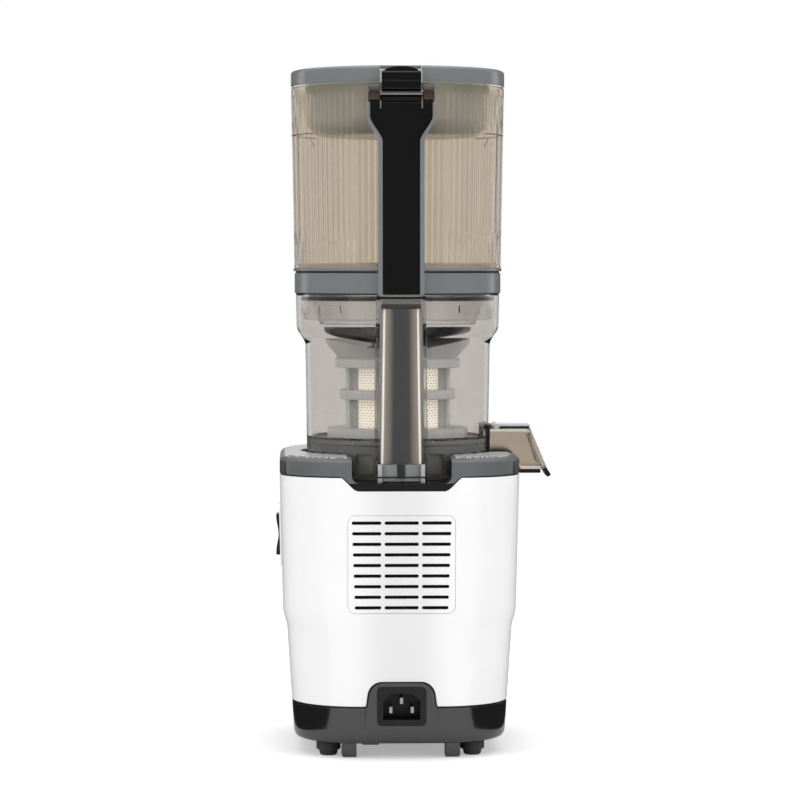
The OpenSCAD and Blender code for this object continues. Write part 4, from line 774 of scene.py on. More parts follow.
hollow = turned(oblong(0, HOLLOW_R, TRAY_Z, RIM_Z + 9), 128)
notch_space = pressed(notch, 0, REAR_Y + 10, "y")
chute_space = pressed(oblong(-CHUTE_W / 2, CHUTE_W / 2, TRAY_Z, RIM_Z + 9), -REAR_Y - 10, 0, "y")
dip_space = pressed([(-DIP_W / 2, DIP_Z), (DIP_W / 2, DIP_Z), (DIP_W / 2 + 4, RIM_Z + 9),
                     (-DIP_W / 2 - 4, RIM_Z + 9)], -BODY_W, 0, "x")
shaft_way = turned(oblong(0, 14, LIP_Z - 5, TRAY_Z + 5), 64)
deck_shape = carve(deck_solid, [hollow, notch_space, chute_space, dip_space, shaft_way])


def is_tray(x, y, z, up):
    """Whether a face of the deck lies in the black tray, on the rear sill of its lip, which is painted black
    as a dark reflection, in the notch or in the chute's space.
    """
    in_notch = abs(x) < NOTCH_W / 2 + 0.3 and 0 < y < REAR_Y - 0.4
    # Painted reflection: the sill at the back of the lip takes the black finish, for the dark room that it
    # mirrors
    lip_sill_painted_dark = y > REAR_Y - 4 and abs(x) < NOTCH_W / 2 - 2 and z < TRAY_Z + 0.2
    in_chute = abs(x) < CHUTE_W / 2 + 0.2 and -REAR_Y + 0.4 < y < 0
    return lip_sill_painted_dark or math.hypot(x, y) < HOLLOW_R + 0.2 or (z < RIM_Z - 0.1 and (in_notch or in_chute))


assign(deck_shape, is_tray)
settle("deck_grey", deck_shape, "base", ["deck"], [satin_grey_abs, black_abs],
       edge=0.35, crease=30)

# %% [markdown]
# ## The dotted plate
# On the deck lies a pale plate with a print of small dark dots, in rows offset by half a step. Dots as
# geometry would cost thousands of faces for nothing, so the print is made in the material: a grid of cells,
# and in each cell a circle where the distance to the middle is small. The plate's shape is already right in
# the frame.

# %% A printed dot pattern
DOT_PITCH, DOT_R = 2.0, 0.55


def staggered_dots(material, across, along, pitch, radius):
    """One inside staggered dots and nought elsewhere; across and along are sockets measured in metres."""
    fields = []
    for shift in (0.0, 0.5):
        gaps = []
        for axis_value, step in ((across, pitch), (along, pitch * 1.732)):
            cell = maths(material, "MULTIPLY_ADD", axis_value, 1 / (step * MM), shift + 200.0)
            off = maths(material, "SUBTRACT", maths(material, "FRACT", cell), 0.5)
            gaps.append(maths(material, "MULTIPLY", off, step))
        square = [maths(material, "POWER", maths(material, "ABSOLUTE", g), 2.0) for g in gaps]
        fields.append(maths(material, "LESS_THAN", maths(material, "ADD", *square), radius * radius))
    return maths(material, "MAXIMUM", *fields)


def dotted(name, ground, dot, pitch, radius, roughness, round_at=None):
    """Pale ground with dark staggered dots, flat on a plate or round an upright axis at a radius."""
    material = moulded(name, ground, roughness, 1.0, 0.01, cloud=0.02)
    if round_at:
        split, x = from_axis(material)
        y = maths(material, "SUBTRACT", split.outputs["Y"], AXIS[1] * MM)
        across = maths(material, "MULTIPLY", maths(material, "ARCTAN2", y, x), round_at * MM)
        along = split.outputs["Z"]
    else:
        split = add(material, "SeparateXYZ", {"Vector": add(material, "TexCoord").outputs["Object"]})
        across, along = split.outputs["X"], split.outputs["Y"]
    dots = staggered_dots(material, across, along, pitch, radius)
    repaint(material, dots, dot)
    return material, dots


# Pale enamel print over grey: the dots read as a fine even pattern from a step away
plate_print, _ = dotted("plate_dot_print", "d9dad8", "4c4e50", DOT_PITCH, DOT_R, 0.3)
print("dots every", DOT_PITCH, "mm")


# %% [markdown]
# ## Parts that keep their frame shape
# Motor, gears, board, screws, inlet and bezel are already exact in the frame. They get a finish and, where an
# edge catches the light, a small bevel. A bevel is what makes a machined or moulded edge look real: it
# draws a thin bright line. Gears and bearings stay sharp, as they're hidden inside.

# %% Finishes for what is kept
def dress(names, finish, edge=0.0):
    for name in names.split():
        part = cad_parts[name]
        part.data.materials.clear()
        part.data.materials.append(finish)
        if edge:
            soften(part, edge, 40)


# Solder resist: a dark green lacquer over copper, with a wavy gloss
board_lacquer = moulded("solder_resist_green", "1f4a2c", 0.3, 2.5, 0.03, cloud=0.12, coat=0.3)
# Laminated iron of the rotor, dark with fine rings
iron_laminated = metal("iron_laminated", "6f6a66", 0.5, 0.35, (0.05, 0.05, 1.0))
# Grey polyamide of the pulp chute, and two shades of it for the blocks inside the column
chute_polyamide = moulded("grey_polyamide_satin", "3a3a3a", 0.4, 0.8, 0.03, cloud=0.08)
foot_dark = moulded("dark_polyamide_band", "2e3032", 0.35, 0.9, 0.02, cloud=0.06)
foot_polyamide = moulded("grey_polyamide_foot", "6d7171", 0.35, 0.9, 0.02, cloud=0.06)
dress("deck_inlay", plate_print, 0.15)
dress("switch_bezel", white_abs, 0.4)
dress("inlet_socket", black_acetal, 0.4)
dress("inlet_blades", steel_turned, 0.2)
dress("motor_can motor_end_cap", steel_drawn, 0.4)
dress("gearbox_case gearbox_cover", aluminium_cast, 0.5)
dress("motor_bearings drive_bearings idler_pin rotor_shaft housing_screws screw_socket", steel_turned)
dress("drive_shaft", steel_turned, 0.2)
dress("rotor_core", iron_laminated)
dress("idler_gear output_gear", brass_hobbed)
dress("motor_fan", black_acetal)
dress("control_board", board_lacquer)
dress("safety_sensor", black_acetal, 0.3)
dress("shaft_seal drum_seal spout_gasket hopper_seal", silicone_black)
dress("cap_seal", silicone_pale)
dress("safety_magnet", magnet_ferrite, 0.2)
dress("pulp_chute", chute_polyamide, 0.4)
print("kept parts have finishes")

# %% [markdown]
# ## The drum
# The drum is turned from one profile: a flat floor, a wall with a little draft, and an S-shaped shoulder that
# widens into the flange under the hopper. The four lugs inside the flange hold the hopper's neck. They are
# joined by a boolean and not just pushed in, because clear plastic shows any face hidden inside it.

# %% Drum, lugs and openings
def pulp_hole(low_z, high_z):
    """The way of the pulp through a floor, towards the front."""
    return pressed(oblong(-8, 8, -40, -26), low_z, high_z, "z")


DRUM_DRAFT, DRUM_WALL, SHOULDER_Z, SHOULDER_H = 1.0, 2.8, 66.0, 13.0
DRIVE_R = radius("drum_seal") - 7


def drum_side(t, steps=14):
    return [(DRUM_R + DRUM_DRAFT + eased(k / steps) * (FLANGE_R - 0.5 - DRUM_R - DRUM_DRAFT) - t,
             FLOOR_Z + SHOULDER_Z + k / steps * SHOULDER_H) for k in range(steps + 1)]


drum_out = [(DRUM_R - 0.9, FLOOR_Z), (DRUM_R - 0.25, FLOOR_Z + 0.25), (DRUM_R, FLOOR_Z + 0.9),
            (DRUM_R, FLOOR_Z + 3.6)] + drum_side(0)
drum_top = [(FLANGE_R, DRUM_Z - 0.6), (FLANGE_R - 0.5, DRUM_Z), (FLANGE_R - DRUM_WALL + 0.5, DRUM_Z),
            (FLANGE_R - DRUM_WALL, DRUM_Z - 0.6)]
drum_in = drum_side(DRUM_WALL)[::-1]
drum_in += [(DRUM_R - DRUM_WALL, FLOOR_Z + 5), (DRUM_R - DRUM_WALL - 2, FLOOR_Z + 3),
            (DRIVE_R + 5, FLOOR_Z + 3), (DRIVE_R + 5, FLOOR_Z)]
LUG_OUT_R, LUG_IN_R, LUG_REACH = 66.3, 64.2, 8.4
lugs = [pressed(sector(LUG_OUT_R, LUG_IN_R, turn, LUG_REACH), DRUM_Z - 12, DRUM_Z - 7, "z")
        for turn in (45, 135, 225, 315)]
SPOUT_W, SPOUT_WALL = width("juice_spout", 1), 2.0
SPOUT_HALF = SPOUT_W / 2


def juice_hole(top_z, start, end):
    """The way of the juice, as wide as the spout is inside."""
    return pressed(oblong(-SPOUT_HALF + SPOUT_WALL, SPOUT_HALF - SPOUT_WALL, FLOOR_Z + 3.1, top_z),
                   start, end, "x")


juice_way = juice_hole(FLOOR_Z + 9.5, -DRUM_R - 12, -DRUM_R + 14)
drum = carve(carve(turned(drum_out + drum_top + drum_in, 200), lugs, "UNION"),
             [juice_way, pulp_hole(FLOOR_Z - 4, FLOOR_Z + 8)])
assign(drum, lambda x, y, z, up: z < FLOOR_Z + 3.3)
settle("drum_clear", drum, "drum", ["drum_shell"], [drum_clear, skirt_clear], edge=0.25)

# %% [markdown]
# ## The drum's skirt and column
# Below the floor a darker skirt with a row of windows stands in the deck. At the back a hollow column runs
# from the deck up to the flange and holds the safety magnet in its foot. It is clear too, so its core shows
# through.

# %% Skirt with its windows
def chute_gap():
    """The room that skirt and sleeve leave for the pulp chute at the front."""
    return pressed(oblong(-CHUTE_W / 2 + 0.8, CHUTE_W / 2 - 0.8, -DRUM_R - 5, -20), SKIRT_Z - 1,
                   FLOOR_Z + 1, "z")


skirt = turned(oblong(DRUM_R - 2.2, DRUM_R, SKIRT_Z, FLOOR_Z - 0.05), 192)
window_h = FLOOR_Z - SKIRT_Z - 9
windows = []
for k in range(24):
    a = math.radians(7.5 + 15 * k)
    opening = rounded(12, window_h, 1.5, 3, (0, SKIRT_Z + 4 + window_h / 2))
    windows.append(stacked([[polar(r, a, v, u) for u, v in opening] for r in (DRUM_R - 5, DRUM_R + 3)]))
settle("skirt_smoke", carve(skirt, [joined(windows), chute_gap()]), "drum", ["drum_skirt"],
       skirt_clear, edge=0.3)

sleeve = carve(turned(oblong(DRUM_R - 3.2, DRUM_R - 2.7, SKIRT_Z + 0.6, FLOOR_Z - 0.2), 160), [chute_gap()])
settle("skirt_sleeve", sleeve, "drum", [], sleeve_plastic)

# %% Column behind the drum
COLUMN_W, COLUMN_WALL = 34.0, 2.5
COLUMN_Y = high("column_core", 1) - AXIS[1] + 3.5
FOOT_TOP = SKIRT_Z - 0.2 + 15


def column_ring(inset, z, steps=6):
    t = (z - SKIRT_Z + 0.2) / (DRUM_Z - SKIRT_Z + 0.2)
    w = COLUMN_W + 1.5 - 3 * t - 2 * inset
    return [(x, y, z) for x, y in rounded(w, 30 - 2 * inset, 6 - inset, steps, (0, COLUMN_Y - 15))]


shaft = stacked([column_ring(0, FOOT_TOP - 2), column_ring(0, DRUM_Z - 1.2), column_ring(0.4, DRUM_Z - 0.3),
                 column_ring(1.0, DRUM_Z)])
foot_block = stacked([column_ring(1.2, SKIRT_Z), column_ring(0.8, SKIRT_Z + 0.6), column_ring(0.8, FOOT_TOP)])
fins = [pressed(oblong(x - 0.8, x + 0.8, COLUMN_Y - 8, COLUMN_Y + 0.6), SKIRT_Z, SKIRT_Z + 14, "z")
        for x in (-COLUMN_W / 2 + 1.2, COLUMN_W / 2 - 1.2)]


def drum_body():
    """The drum as a solid, a trace larger, to cut its room out of the column."""
    below = [(0, SKIRT_Z - 2), (DRUM_R + 0.05, SKIRT_Z - 2), (DRUM_R + 0.05, FLOOR_Z)]
    above = [(FLANGE_R + 0.05, DRUM_Z), (FLANGE_R + 0.05, DRUM_Z + 2), (0, DRUM_Z + 2)]
    return turned(below + drum_side(-0.05) + above, 200)


room = stacked([column_ring(COLUMN_WALL, FOOT_TOP - 3.2), column_ring(COLUMN_WALL, DRUM_Z - COLUMN_WALL)])
magnet_room = pressed(oblong(-2.2, 2.2, COLUMN_Y - 3.5, COLUMN_Y + 2), SKIRT_Z + 2.8, SKIRT_Z + 11, "z")
magnet_way = pressed(oblong(-2.6, 2.6, COLUMN_Y - 6, COLUMN_Y + 2), SKIRT_Z + 2.4, SKIRT_Z + 11.4, "z")
column = carve(carve(shaft, [foot_block] + fins, "UNION"), [room, drum_body(), magnet_room])
settle("column_clear", column, "drum", ["drum_column"], column_clear, edge=0.3)
foot_fins = [pressed(rounded(2.8, 5.5, 0.8, 3, (x, COLUMN_Y - 2.4)), SKIRT_Z - 0.1, SKIRT_Z + 11.6, "z")
             for x in (-14.0, 13.9)]
foot_panel = pressed(rounded(25.0, 1.2, 0.5, 2, (0, COLUMN_Y - 3.2)), SKIRT_Z + 0.6, FOOT_TOP - 3.3, "z")
settle("column_foot_fins", joined(foot_fins), "drum", [], frosted_pale, edge=0.2)
settle("column_foot_panel", carve(foot_panel, [magnet_way]), "drum", [], foot_polyamide)

# %% [markdown]
# ## The column's core
# Light runs down the clear wall and leaves it along two pale stripes. Following that light would take very
# many samples, so the light is painted into the core's finish instead: a ramp over the distance to the
# middle.

# %% Core of the column
RAMP_MM = 20.0


def across_ramp(name, stops, roughness):
    """Moulded plastic with painted light: its colour is set by the distance to the machine's middle plane, in
    millimetres.
    """
    material = moulded(name, stops[0][1], roughness, 2.5, 0.004)
    split, x = from_axis(material)
    off = maths(material, "ABSOLUTE", x)
    spread = mapped(material, split.outputs["Z"], SKIRT_Z * MM, DRUM_Z * MM, 0.97, 1.13)
    share = maths(material, "DIVIDE", maths(material, "MULTIPLY", off, spread), RAMP_MM * MM)
    connect(material, ramp(material, share, [(mm / RAMP_MM, linear(code)) for mm, code in stops]),
            "Base Color")
    return material


# Painted light: dark down the middle, with a pale stripe near each side where light leaves the clear wall
PAINTED_LIGHT_STRIPES = ((0, "3b3e41"), (5.2, "3c3f42"), (7.8, "716b64"), (11.2, "8f877d"), (12.0, "f6f4ec"),
           (12.6, "f6f4ec"), (13.1, "7d7d80"))
core_light_paint = across_ramp("column_core_polyamide_painted_light", PAINTED_LIGHT_STRIPES, 0.45)
core_front = [(13.6 * k / 8, COLUMN_Y - 3.2 - 3.0 * (k / 8) ** 2) for k in range(-8, 9)]
core_ring = core_front + [(13.6, COLUMN_Y - 13.0), (-13.6, COLUMN_Y - 13.0)]
CORE_TOP = DRUM_Z - 9
core = carve(pressed(core_ring, FOOT_TOP - 3.1, CORE_TOP, "z"), [drum_body()])
top_band = carve(pressed(rounded(26.0, 8, 1, 2, (0, COLUMN_Y - 7.5)), CORE_TOP + 0.1, CORE_TOP + 3.0, "z"),
                 [drum_body()])
top_block = carve(pressed(rounded(26.5, 8, 1, 2, (0, COLUMN_Y - 7.2)), CORE_TOP + 3.1,
                          DRUM_Z - COLUMN_WALL - 0.05, "z"), [drum_body()])
settle("column_top_band", top_band, "drum", [], foot_dark)
settle("column_top_block", top_block, "drum", [], foot_polyamide)
settle("column_core_painted_light", core, "drum", ["column_core"], core_light_paint)

# %% [markdown]
# ## Spout and its cap
# The spout leaves the drum low at the side and ends in a slanted mouth. It is one outline pressed out, with
# a smaller outline cut from it as its bore, and the drum's round wall cut from its root so that both parts
# meet.

# %% Spout
SPOUT_BASE, SPOUT_TOP = low("juice_spout", 2), FLOOR_Z + 9.5
KNEE_X, SPOUT_LOW, SPOUT_TIP, SPOUT_ROOT = BODY_W / 2 + 1.2, 96.8, 87.8, 61.8
CAP_X, CAP_Z = SPOUT_TIP - 21.5, SPOUT_TOP + 1.6
# The lever turns close over the spout, so its hinge end is small
BOSS_R, PIN_WAY_R, AXLE_R, LEVER_R = 2.0, 1.5, 1.2, 1.45


def across_spout(outline, margin):
    """An outline in x and z, as wide as the spout less a margin on each side."""
    return pressed(outline, -SPOUT_HALF + margin, SPOUT_HALF - margin, "y")


def hinge_ends(r, steps, half):
    """Two short cylinders on the cap's hinge axis, at the spout's sides."""
    return [pressed(disc(-CAP_X, CAP_Z, r, steps), side - half, side + half, "y")
            for side in (-SPOUT_HALF + half, SPOUT_HALF - half)]


print("spout from", round(SPOUT_BASE, 1), "to", round(SPOUT_TOP, 1), "cap hinge at", round(CAP_Z, 1))
outer_spout = across_spout([(-SPOUT_ROOT, RIM_Z - 4.8), (-KNEE_X + 8, RIM_Z - 5.8), (-KNEE_X, RIM_Z - 7),
                            (-KNEE_X - 2, SPOUT_BASE), (-SPOUT_LOW, SPOUT_BASE), (-SPOUT_TIP, SPOUT_TOP),
                            (-SPOUT_ROOT, SPOUT_TOP)], 0)
inside = [(-SPOUT_ROOT - 1, SPOUT_TOP - SPOUT_WALL), (-SPOUT_ROOT - 1, RIM_Z - 4.8 + SPOUT_WALL + 1.0),
          (-KNEE_X + 8, RIM_Z - 5.8 + SPOUT_WALL), (-KNEE_X, RIM_Z - 7 + SPOUT_WALL),
          (-KNEE_X - 2, SPOUT_BASE + SPOUT_WALL), (-SPOUT_LOW - 9, SPOUT_BASE + SPOUT_WALL),
          (-SPOUT_TIP - 9, SPOUT_TOP - SPOUT_WALL)]
bore = across_spout(inside, SPOUT_WALL)
inner_way = juice_hole(SPOUT_TOP - SPOUT_WALL, -SPOUT_ROOT - 3, -SPOUT_ROOT + 12)
pin_way = across_spout(disc(-CAP_X, CAP_Z, PIN_WAY_R, 24), -4)
drum_room = turned(oblong(0, DRUM_R + 0.45, SKIRT_Z - 4, SKIRT_Z + 60), 200)
spout = carve(carve(outer_spout, hinge_ends(BOSS_R, 32, 1.5), "UNION"), [bore, inner_way, pin_way, drum_room])
# Thick and a little cloudy, so it reads as beige
spout_clear = clear_plastic("copolyester_beige", "cac1b6", 0.12)
assign(spout, lambda x, y, z, up: z > SPOUT_TOP + 0.1)
settle("spout_clear", spout, "drum", ["juice_spout"], [spout_clear, cap_paint], edge=0.5)
COVER_X, COVER_Z = (-CAP_X + 2.3, -DRUM_R - 1.6), (SPOUT_TOP + 0.3, SPOUT_TOP + 2.9)
hinge_cover = across_spout([(COVER_X[0], COVER_Z[0]), (COVER_X[0], COVER_Z[1]), (COVER_X[1], COVER_Z[1]),
                            (COVER_X[1], COVER_Z[0])], 3.5)
settle("spout_hinge_cover", hinge_cover, "drum", [], cap_paint, edge=0.4)

sill_middle = [sum(reach("spout_sill", k)) / 2 for k in (0, 1)]
sill_plan = rounded(width("spout_sill") + 3.6, width("spout_sill", 1), 1.2, 4, sill_middle)
sill = pressed(sill_plan, low("spout_sill", 2) - 0.8, high("spout_sill", 2), "z")
settle("spout_sill_black", sill, "drum", ["spout_sill"], black_abs, edge=0.3)

# %% [markdown]
# ## The cap
# The cap is one piece with three looks: silver paint on its lever, the spout's smoky plastic on the slanted
# plate that closes the mouth, and a black drip lip. Faces take their finish from their height.

# %% Cap with lever, slanted plate and drip lip
SLANT = math.atan(9.0 / (SPOUT_TOP - SPOUT_BASE))
CAP_LENGTH, CAP_T, CAP_GAP, LIP_DROP = (SPOUT_TOP - SPOUT_BASE) / math.cos(SLANT), 3.0, 0.5, 5.7


def cap_point(u, v):
    """A point of the cap's slanted plate: u outwards, v along it, as x and z."""
    c, s = math.cos(SLANT), math.sin(SLANT)
    return (-SPOUT_TIP + c * u + s * v, SPOUT_TOP - s * u + c * v)


hinge_arc = arc(-CAP_X, CAP_Z, LEVER_R, [-70 + 160 * k / 14 for k in range(15)])
lever = hinge_arc + [(-SPOUT_TIP - 0.6, SPOUT_TOP + 2.9), (-SPOUT_TIP - 1.5, SPOUT_TOP + 2.2),
                     (-SPOUT_TIP - 1.4, SPOUT_TOP + 1.5)]
cap_lever = across_spout(lever, 3.5)
plate_outline = [cap_point(-CAP_GAP - 0.7, CAP_GAP + 1.0), cap_point(-CAP_GAP - CAP_T, -CAP_LENGTH),
                 cap_point(-CAP_GAP, -CAP_LENGTH), cap_point(-CAP_GAP, CAP_GAP + 1.0)]
cap_plate = across_spout(plate_outline, 0)
c14, s14 = math.cos(math.radians(14)), math.sin(math.radians(14))


def lip_point(u, v):
    return cap_point(-CAP_GAP - CAP_T + c14 * u + s14 * v, -CAP_LENGTH - s14 * u + c14 * v)


LIP_SHAPE = [(0, 1), (0, -LIP_DROP), (0.6, -LIP_DROP - 0.6), (CAP_T - 0.6, -LIP_DROP - 0.6),
             (CAP_T, -LIP_DROP), (CAP_T, 1)]
drip_lip = across_spout([lip_point(u, v) for u, v in LIP_SHAPE], 4)
above_spout = across_spout(oblong(-SPOUT_TIP + 0.01, 0, SPOUT_TOP - 30, SPOUT_TOP + CAP_GAP), -SPOUT_HALF)
cap = carve(carve(carve(cap_lever, [cap_plate, drip_lip], "UNION"), [above_spout]),
            hinge_ends(AXLE_R, 24, 2.2), "UNION")
assign(cap, lambda x, y, z, up: 0 if z > SPOUT_TOP + 1.0 else 2 if z > SPOUT_BASE + 1.0 else 1)
# The slanted plate is the spout's own smoky plastic, a little cloudy
plate_tint = clear_plastic("copolyester_beige_cloudy", "c4bab0", 0.2, clear=0.6)
settle("spout_cap", cap, "cap", ["juice_cap"], [cap_paint, black_abs, plate_tint], edge=0.4)
cap_pad = across_spout([(-CAP_X - 2.2, SPOUT_TOP + 0.3), (-SPOUT_TIP - 0.6, SPOUT_TOP + 0.3),
                        (-SPOUT_TIP - 1.0, SPOUT_TOP + 1.7), (-CAP_X - 2.2, SPOUT_TOP + 1.7)], 3.2)
settle("spout_cap_pad", cap_pad, "cap", [], black_abs)

# %% [markdown]
# ## The strainer
# The strainer is a cage round a fine sieve: three rings, a broad foot ring and eight posts, with a funnel
# on top that has a V-shaped notch at the back. Rings and funnel are turned, with rounded edges in their
# profiles, and the posts are pressed. The sieve's holes are too many to cut, so its material darkens
# staggered spots and dents them.

# %% Strainer cage
SIEVE_R, SIEVE_T = high("strainer_mesh", 0) - AXIS[0], 0.6
CAGE_BASE, CAGE_TOP = low("strainer_frame", 2), high("strainer_frame", 2)
FUNNEL_LOW = CAGE_TOP - 12.6
FUNNEL_R = radius("strainer_frame")
CAGE_R, INSIDE_R, FOOT_IN_R, FOOT_OUT_R = 37.0, SIEVE_R + 0.05, 23.4, 47.5


def hoop(inner_r, outer_r, low_z, high_z, soft=0.8):
    """A ring with rounded outer edges."""
    profile = [(inner_r, low_z)]
    for cz, start in ((low_z + soft, -90), (high_z - soft, 0)):
        profile += arc(outer_r - soft, cz, soft, [start + k * 22.5 for k in range(5)])
    return turned(profile + [(inner_r, high_z)], 144)


MID_Z = (CAGE_TOP + CAGE_BASE) / 2 - 7
cone = [(INSIDE_R, FUNNEL_LOW - 3), (CAGE_R + 2.6, FUNNEL_LOW - 3), (CAGE_R + 3, FUNNEL_LOW - 2.6),
        (CAGE_R + 3, FUNNEL_LOW), (FUNNEL_R - 0.1, CAGE_TOP - 2.2), (FUNNEL_R, CAGE_TOP - 1.9),
        (FUNNEL_R, CAGE_TOP - 0.5), (FUNNEL_R - 0.5, CAGE_TOP), (FUNNEL_R - 1.8, CAGE_TOP),
        (FUNNEL_R - 2.2, CAGE_TOP - 0.4), (SIEVE_R, FUNNEL_LOW)]
vee = pressed([(-FUNNEL_R + 2, CAGE_TOP + 5), (-FUNNEL_R + 2, CAGE_TOP + 0.01), (0, CAGE_TOP - 9),
               (FUNNEL_R - 2, CAGE_TOP + 0.01), (FUNNEL_R - 2, CAGE_TOP + 5)], 0, FUNNEL_R + 5, "y")
funnel = carve(turned(cone, 160), [vee])
HOOPS = [(CAGE_R + 5.2, FUNNEL_LOW - 6.5, FUNNEL_LOW - 0.5), (CAGE_R + 2, MID_Z, MID_Z + 6.5),
         (CAGE_R - 1, CAGE_BASE + 3, CAGE_BASE + 7.2)]
hoops = [hoop(INSIDE_R, *measures) for measures in HOOPS]
sieve_seat = turned(oblong(0, INSIDE_R, CAGE_BASE + 3, CAGE_BASE + 12), 96)
foot_hoop = carve(hoop(FOOT_IN_R, FOOT_OUT_R, CAGE_BASE, CAGE_BASE + 7),
                  [sieve_seat, pulp_hole(CAGE_BASE - 1, CAGE_BASE + 10)])
POST = [(INSIDE_R, -2.8), (CAGE_R - 0.8, -2.8), (CAGE_R, -2.0), (CAGE_R, 2.0), (CAGE_R - 0.8, 2.8),
        (INSIDE_R, 2.8)]
posts = []
for k in range(8):
    a = math.radians(22.5 + 45 * k)
    posts.append(stacked([[polar(r, a, z, u) for r, u in POST] for z in (CAGE_BASE + 1, FUNNEL_LOW - 1)]))
settle("strainer_cage", joined([funnel, foot_hoop] + hoops + posts), "strainer", ["strainer_frame"],
       cage_plastic)

# %% [markdown]
# ## The sieve
# The sieve is a thin tube. Its material repeats the dots of the plate round the axis, and an inverted bump
# dents them. A faint glow stands in for the light that a white room sends in through thousands of holes.

# %% Sieve
SIEVE_LOW, SIEVE_TOP = low("strainer_mesh", 2), high("strainer_mesh", 2)
sieve_side = [(SIEVE_R, SIEVE_LOW + (SIEVE_TOP - SIEVE_LOW) * k / 6) for k in range(7)]
sieve = turned([(SIEVE_R - SIEVE_T, SIEVE_LOW)] + sieve_side + [(SIEVE_R - SIEVE_T, SIEVE_TOP)], 180)
# Etched steel sheet in a cream plastic carrier: warm and dull, with dark staggered holes
sieve_sheet, holes = dotted("etched_steel_sheet", "f4eee0", "38342e", 2.1, 0.44, 0.42, round_at=22.0)
dent = add(sieve_sheet, "Bump", {"Strength": 0.5, "Distance": 0.3 * MM, "invert": True, "Height": holes})
connect(sieve_sheet, dent.outputs["Normal"], "Normal")
connect(sieve_sheet, colour_of(sieve_sheet), "Emission Color")
tune(sieve_sheet, {"Emission Strength": 0.42})
settle("sieve_etched", sieve, "strainer", ["strainer_mesh"], sieve_sheet)

# %% [markdown]
# ## The screw
# The screw is the heart of the machine and the hardest shape. Each level is a ring whose radius swings
# between core and flight: a flat crest, a smooth flank, then the root. The rings turn with height, so the
# crest becomes a helix. The core grows upwards, which squeezes the fruit, and near the top the flights open
# into the funnel and end in a wing. Such a surface could be swept along a helix, but rings also control how
# the flight fades.

# %% Screw with two flights
SCREW_LOW, SCREW_TOP, LEAD, FLIGHTS = low("juicing_screw", 2), high("juicing_screw", 2), 48.0, 2
CORE_LOW, CORE_HIGH, CREST, FLANK, SCREW_GAP, WING_H = 21.0, 14.0, 24.0, 52.0, 0.7, 8.0
FUNNEL_TOP, FUNNEL_IN_LOW, FUNNEL_IN_TOP = SCREW_TOP - WING_H, SIEVE_R, FUNNEL_R - 2.2


def crest_shape(a):
    p = abs((a * FLIGHTS + 180) % 360 - 180)
    return eased((FLANK - p) / (FLANK - CREST))


def core_at(z):
    if z < FUNNEL_LOW:
        return CORE_LOW + (CORE_HIGH - CORE_LOW) * (z - SCREW_LOW) / (FUNNEL_LOW - SCREW_LOW)
    if z < FUNNEL_TOP:
        return CORE_HIGH + 4 * (z - FUNNEL_LOW) / (FUNNEL_TOP - FUNNEL_LOW)
    return (CORE_HIGH + 4) * (1 - 0.55 * (z - FUNNEL_TOP) / WING_H)


def flight_at(z):
    inside = SIEVE_R - SIEVE_T - SCREW_GAP
    if z < FUNNEL_LOW:
        return inside
    reach = min(inside + (z - FUNNEL_LOW) / (FUNNEL_TOP - FUNNEL_LOW) * (FUNNEL_IN_TOP - FUNNEL_IN_LOW),
                FUNNEL_IN_TOP - SCREW_GAP)
    if z <= FUNNEL_TOP:
        return reach
    return FUNNEL_IN_TOP - SCREW_GAP + 3.2 * eased((z - FUNNEL_TOP - 0.4) / 1.6)


SCREW_STEPS, screw_rings = 72, []
for k in range(SCREW_STEPS + 1):
    z = SCREW_LOW + (SCREW_TOP - SCREW_LOW) * k / SCREW_STEPS
    ring = []
    for a in range(0, 360, 3):
        r = core_at(z) + (flight_at(z) - core_at(z)) * crest_shape(a)
        turn = math.radians(a - 360 * (z - SCREW_LOW) / LEAD)
        ring.append(polar(r, turn, z))
    screw_rings.append(ring)
SOCKET_R = radius("screw_socket")
socket_room = turned(oblong(0, SOCKET_R, SCREW_LOW - 1, high("screw_socket", 2) + 0.5), 64)
settle("screw_black", carve(stacked(screw_rings), [socket_room]), "screw", ["juicing_screw"],
       screw_plastic, crease=50)

# %% [markdown]
# ## The hopper's finish
# A rib's rounded crest bends the light and shows as a pale line. That could be left to refraction alone,
# but so thin a line needs far more samples than it is worth. The material paints the highlight instead,
# lightening the tint along each crest by the angle round the axis, and paints the wall darker where it
# turns edge-on.

# %% Bronze with pale rib crests
def with_painted_crests(name, colour, crest, ribs, bare, share):
    """Clear plastic with painted highlights: its tint is paler on a part of each rib's pitch, except on the
    bare wall behind, and painted darker where the wall turns edge-on.
    """
    material = clear_plastic(name, colour, 0.0, 14.0, 0.004, bend=1.14)
    split, x = from_axis(material)
    y = maths(material, "SUBTRACT", split.outputs["Y"], AXIS[1] * MM)
    turn = maths(material, "ARCTAN2", x, y)
    rib = maths(material, "MULTIPLY_ADD", turn, ribs / (2 * math.pi), ribs + 0.5)
    gap = maths(material, "ABSOLUTE", maths(material, "SUBTRACT", maths(material, "FRACT", rib), 0.5))
    mask = mapped(material, gap, share, share * 0.5)
    ribbed_wall = maths(material, "GREATER_THAN", maths(material, "ABSOLUTE", turn), math.radians(bare))
    high_up = maths(material, "LESS_THAN", split.outputs["Z"], (MOUTH_Z - 6) * MM)
    low_down = maths(material, "GREATER_THAN", split.outputs["Z"], (BUCKET_Z + 5.5) * MM)
    for limit in (ribbed_wall, high_up, low_down):
        mask = maths(material, "MULTIPLY", mask, limit)
    # Painted highlight: the tint pales along each rib crest
    repaint(material, mask, crest)
    # Painted shade: the wall darkens where it turns edge-on, for the dark edges of the thick wall
    edge_on_shade = add(material, "LayerWeight", {"Blend": 0.5}).outputs["Facing"]
    repaint(material, mapped(material, edge_on_shade, 0.74, 0.9), "75665c")
    return material


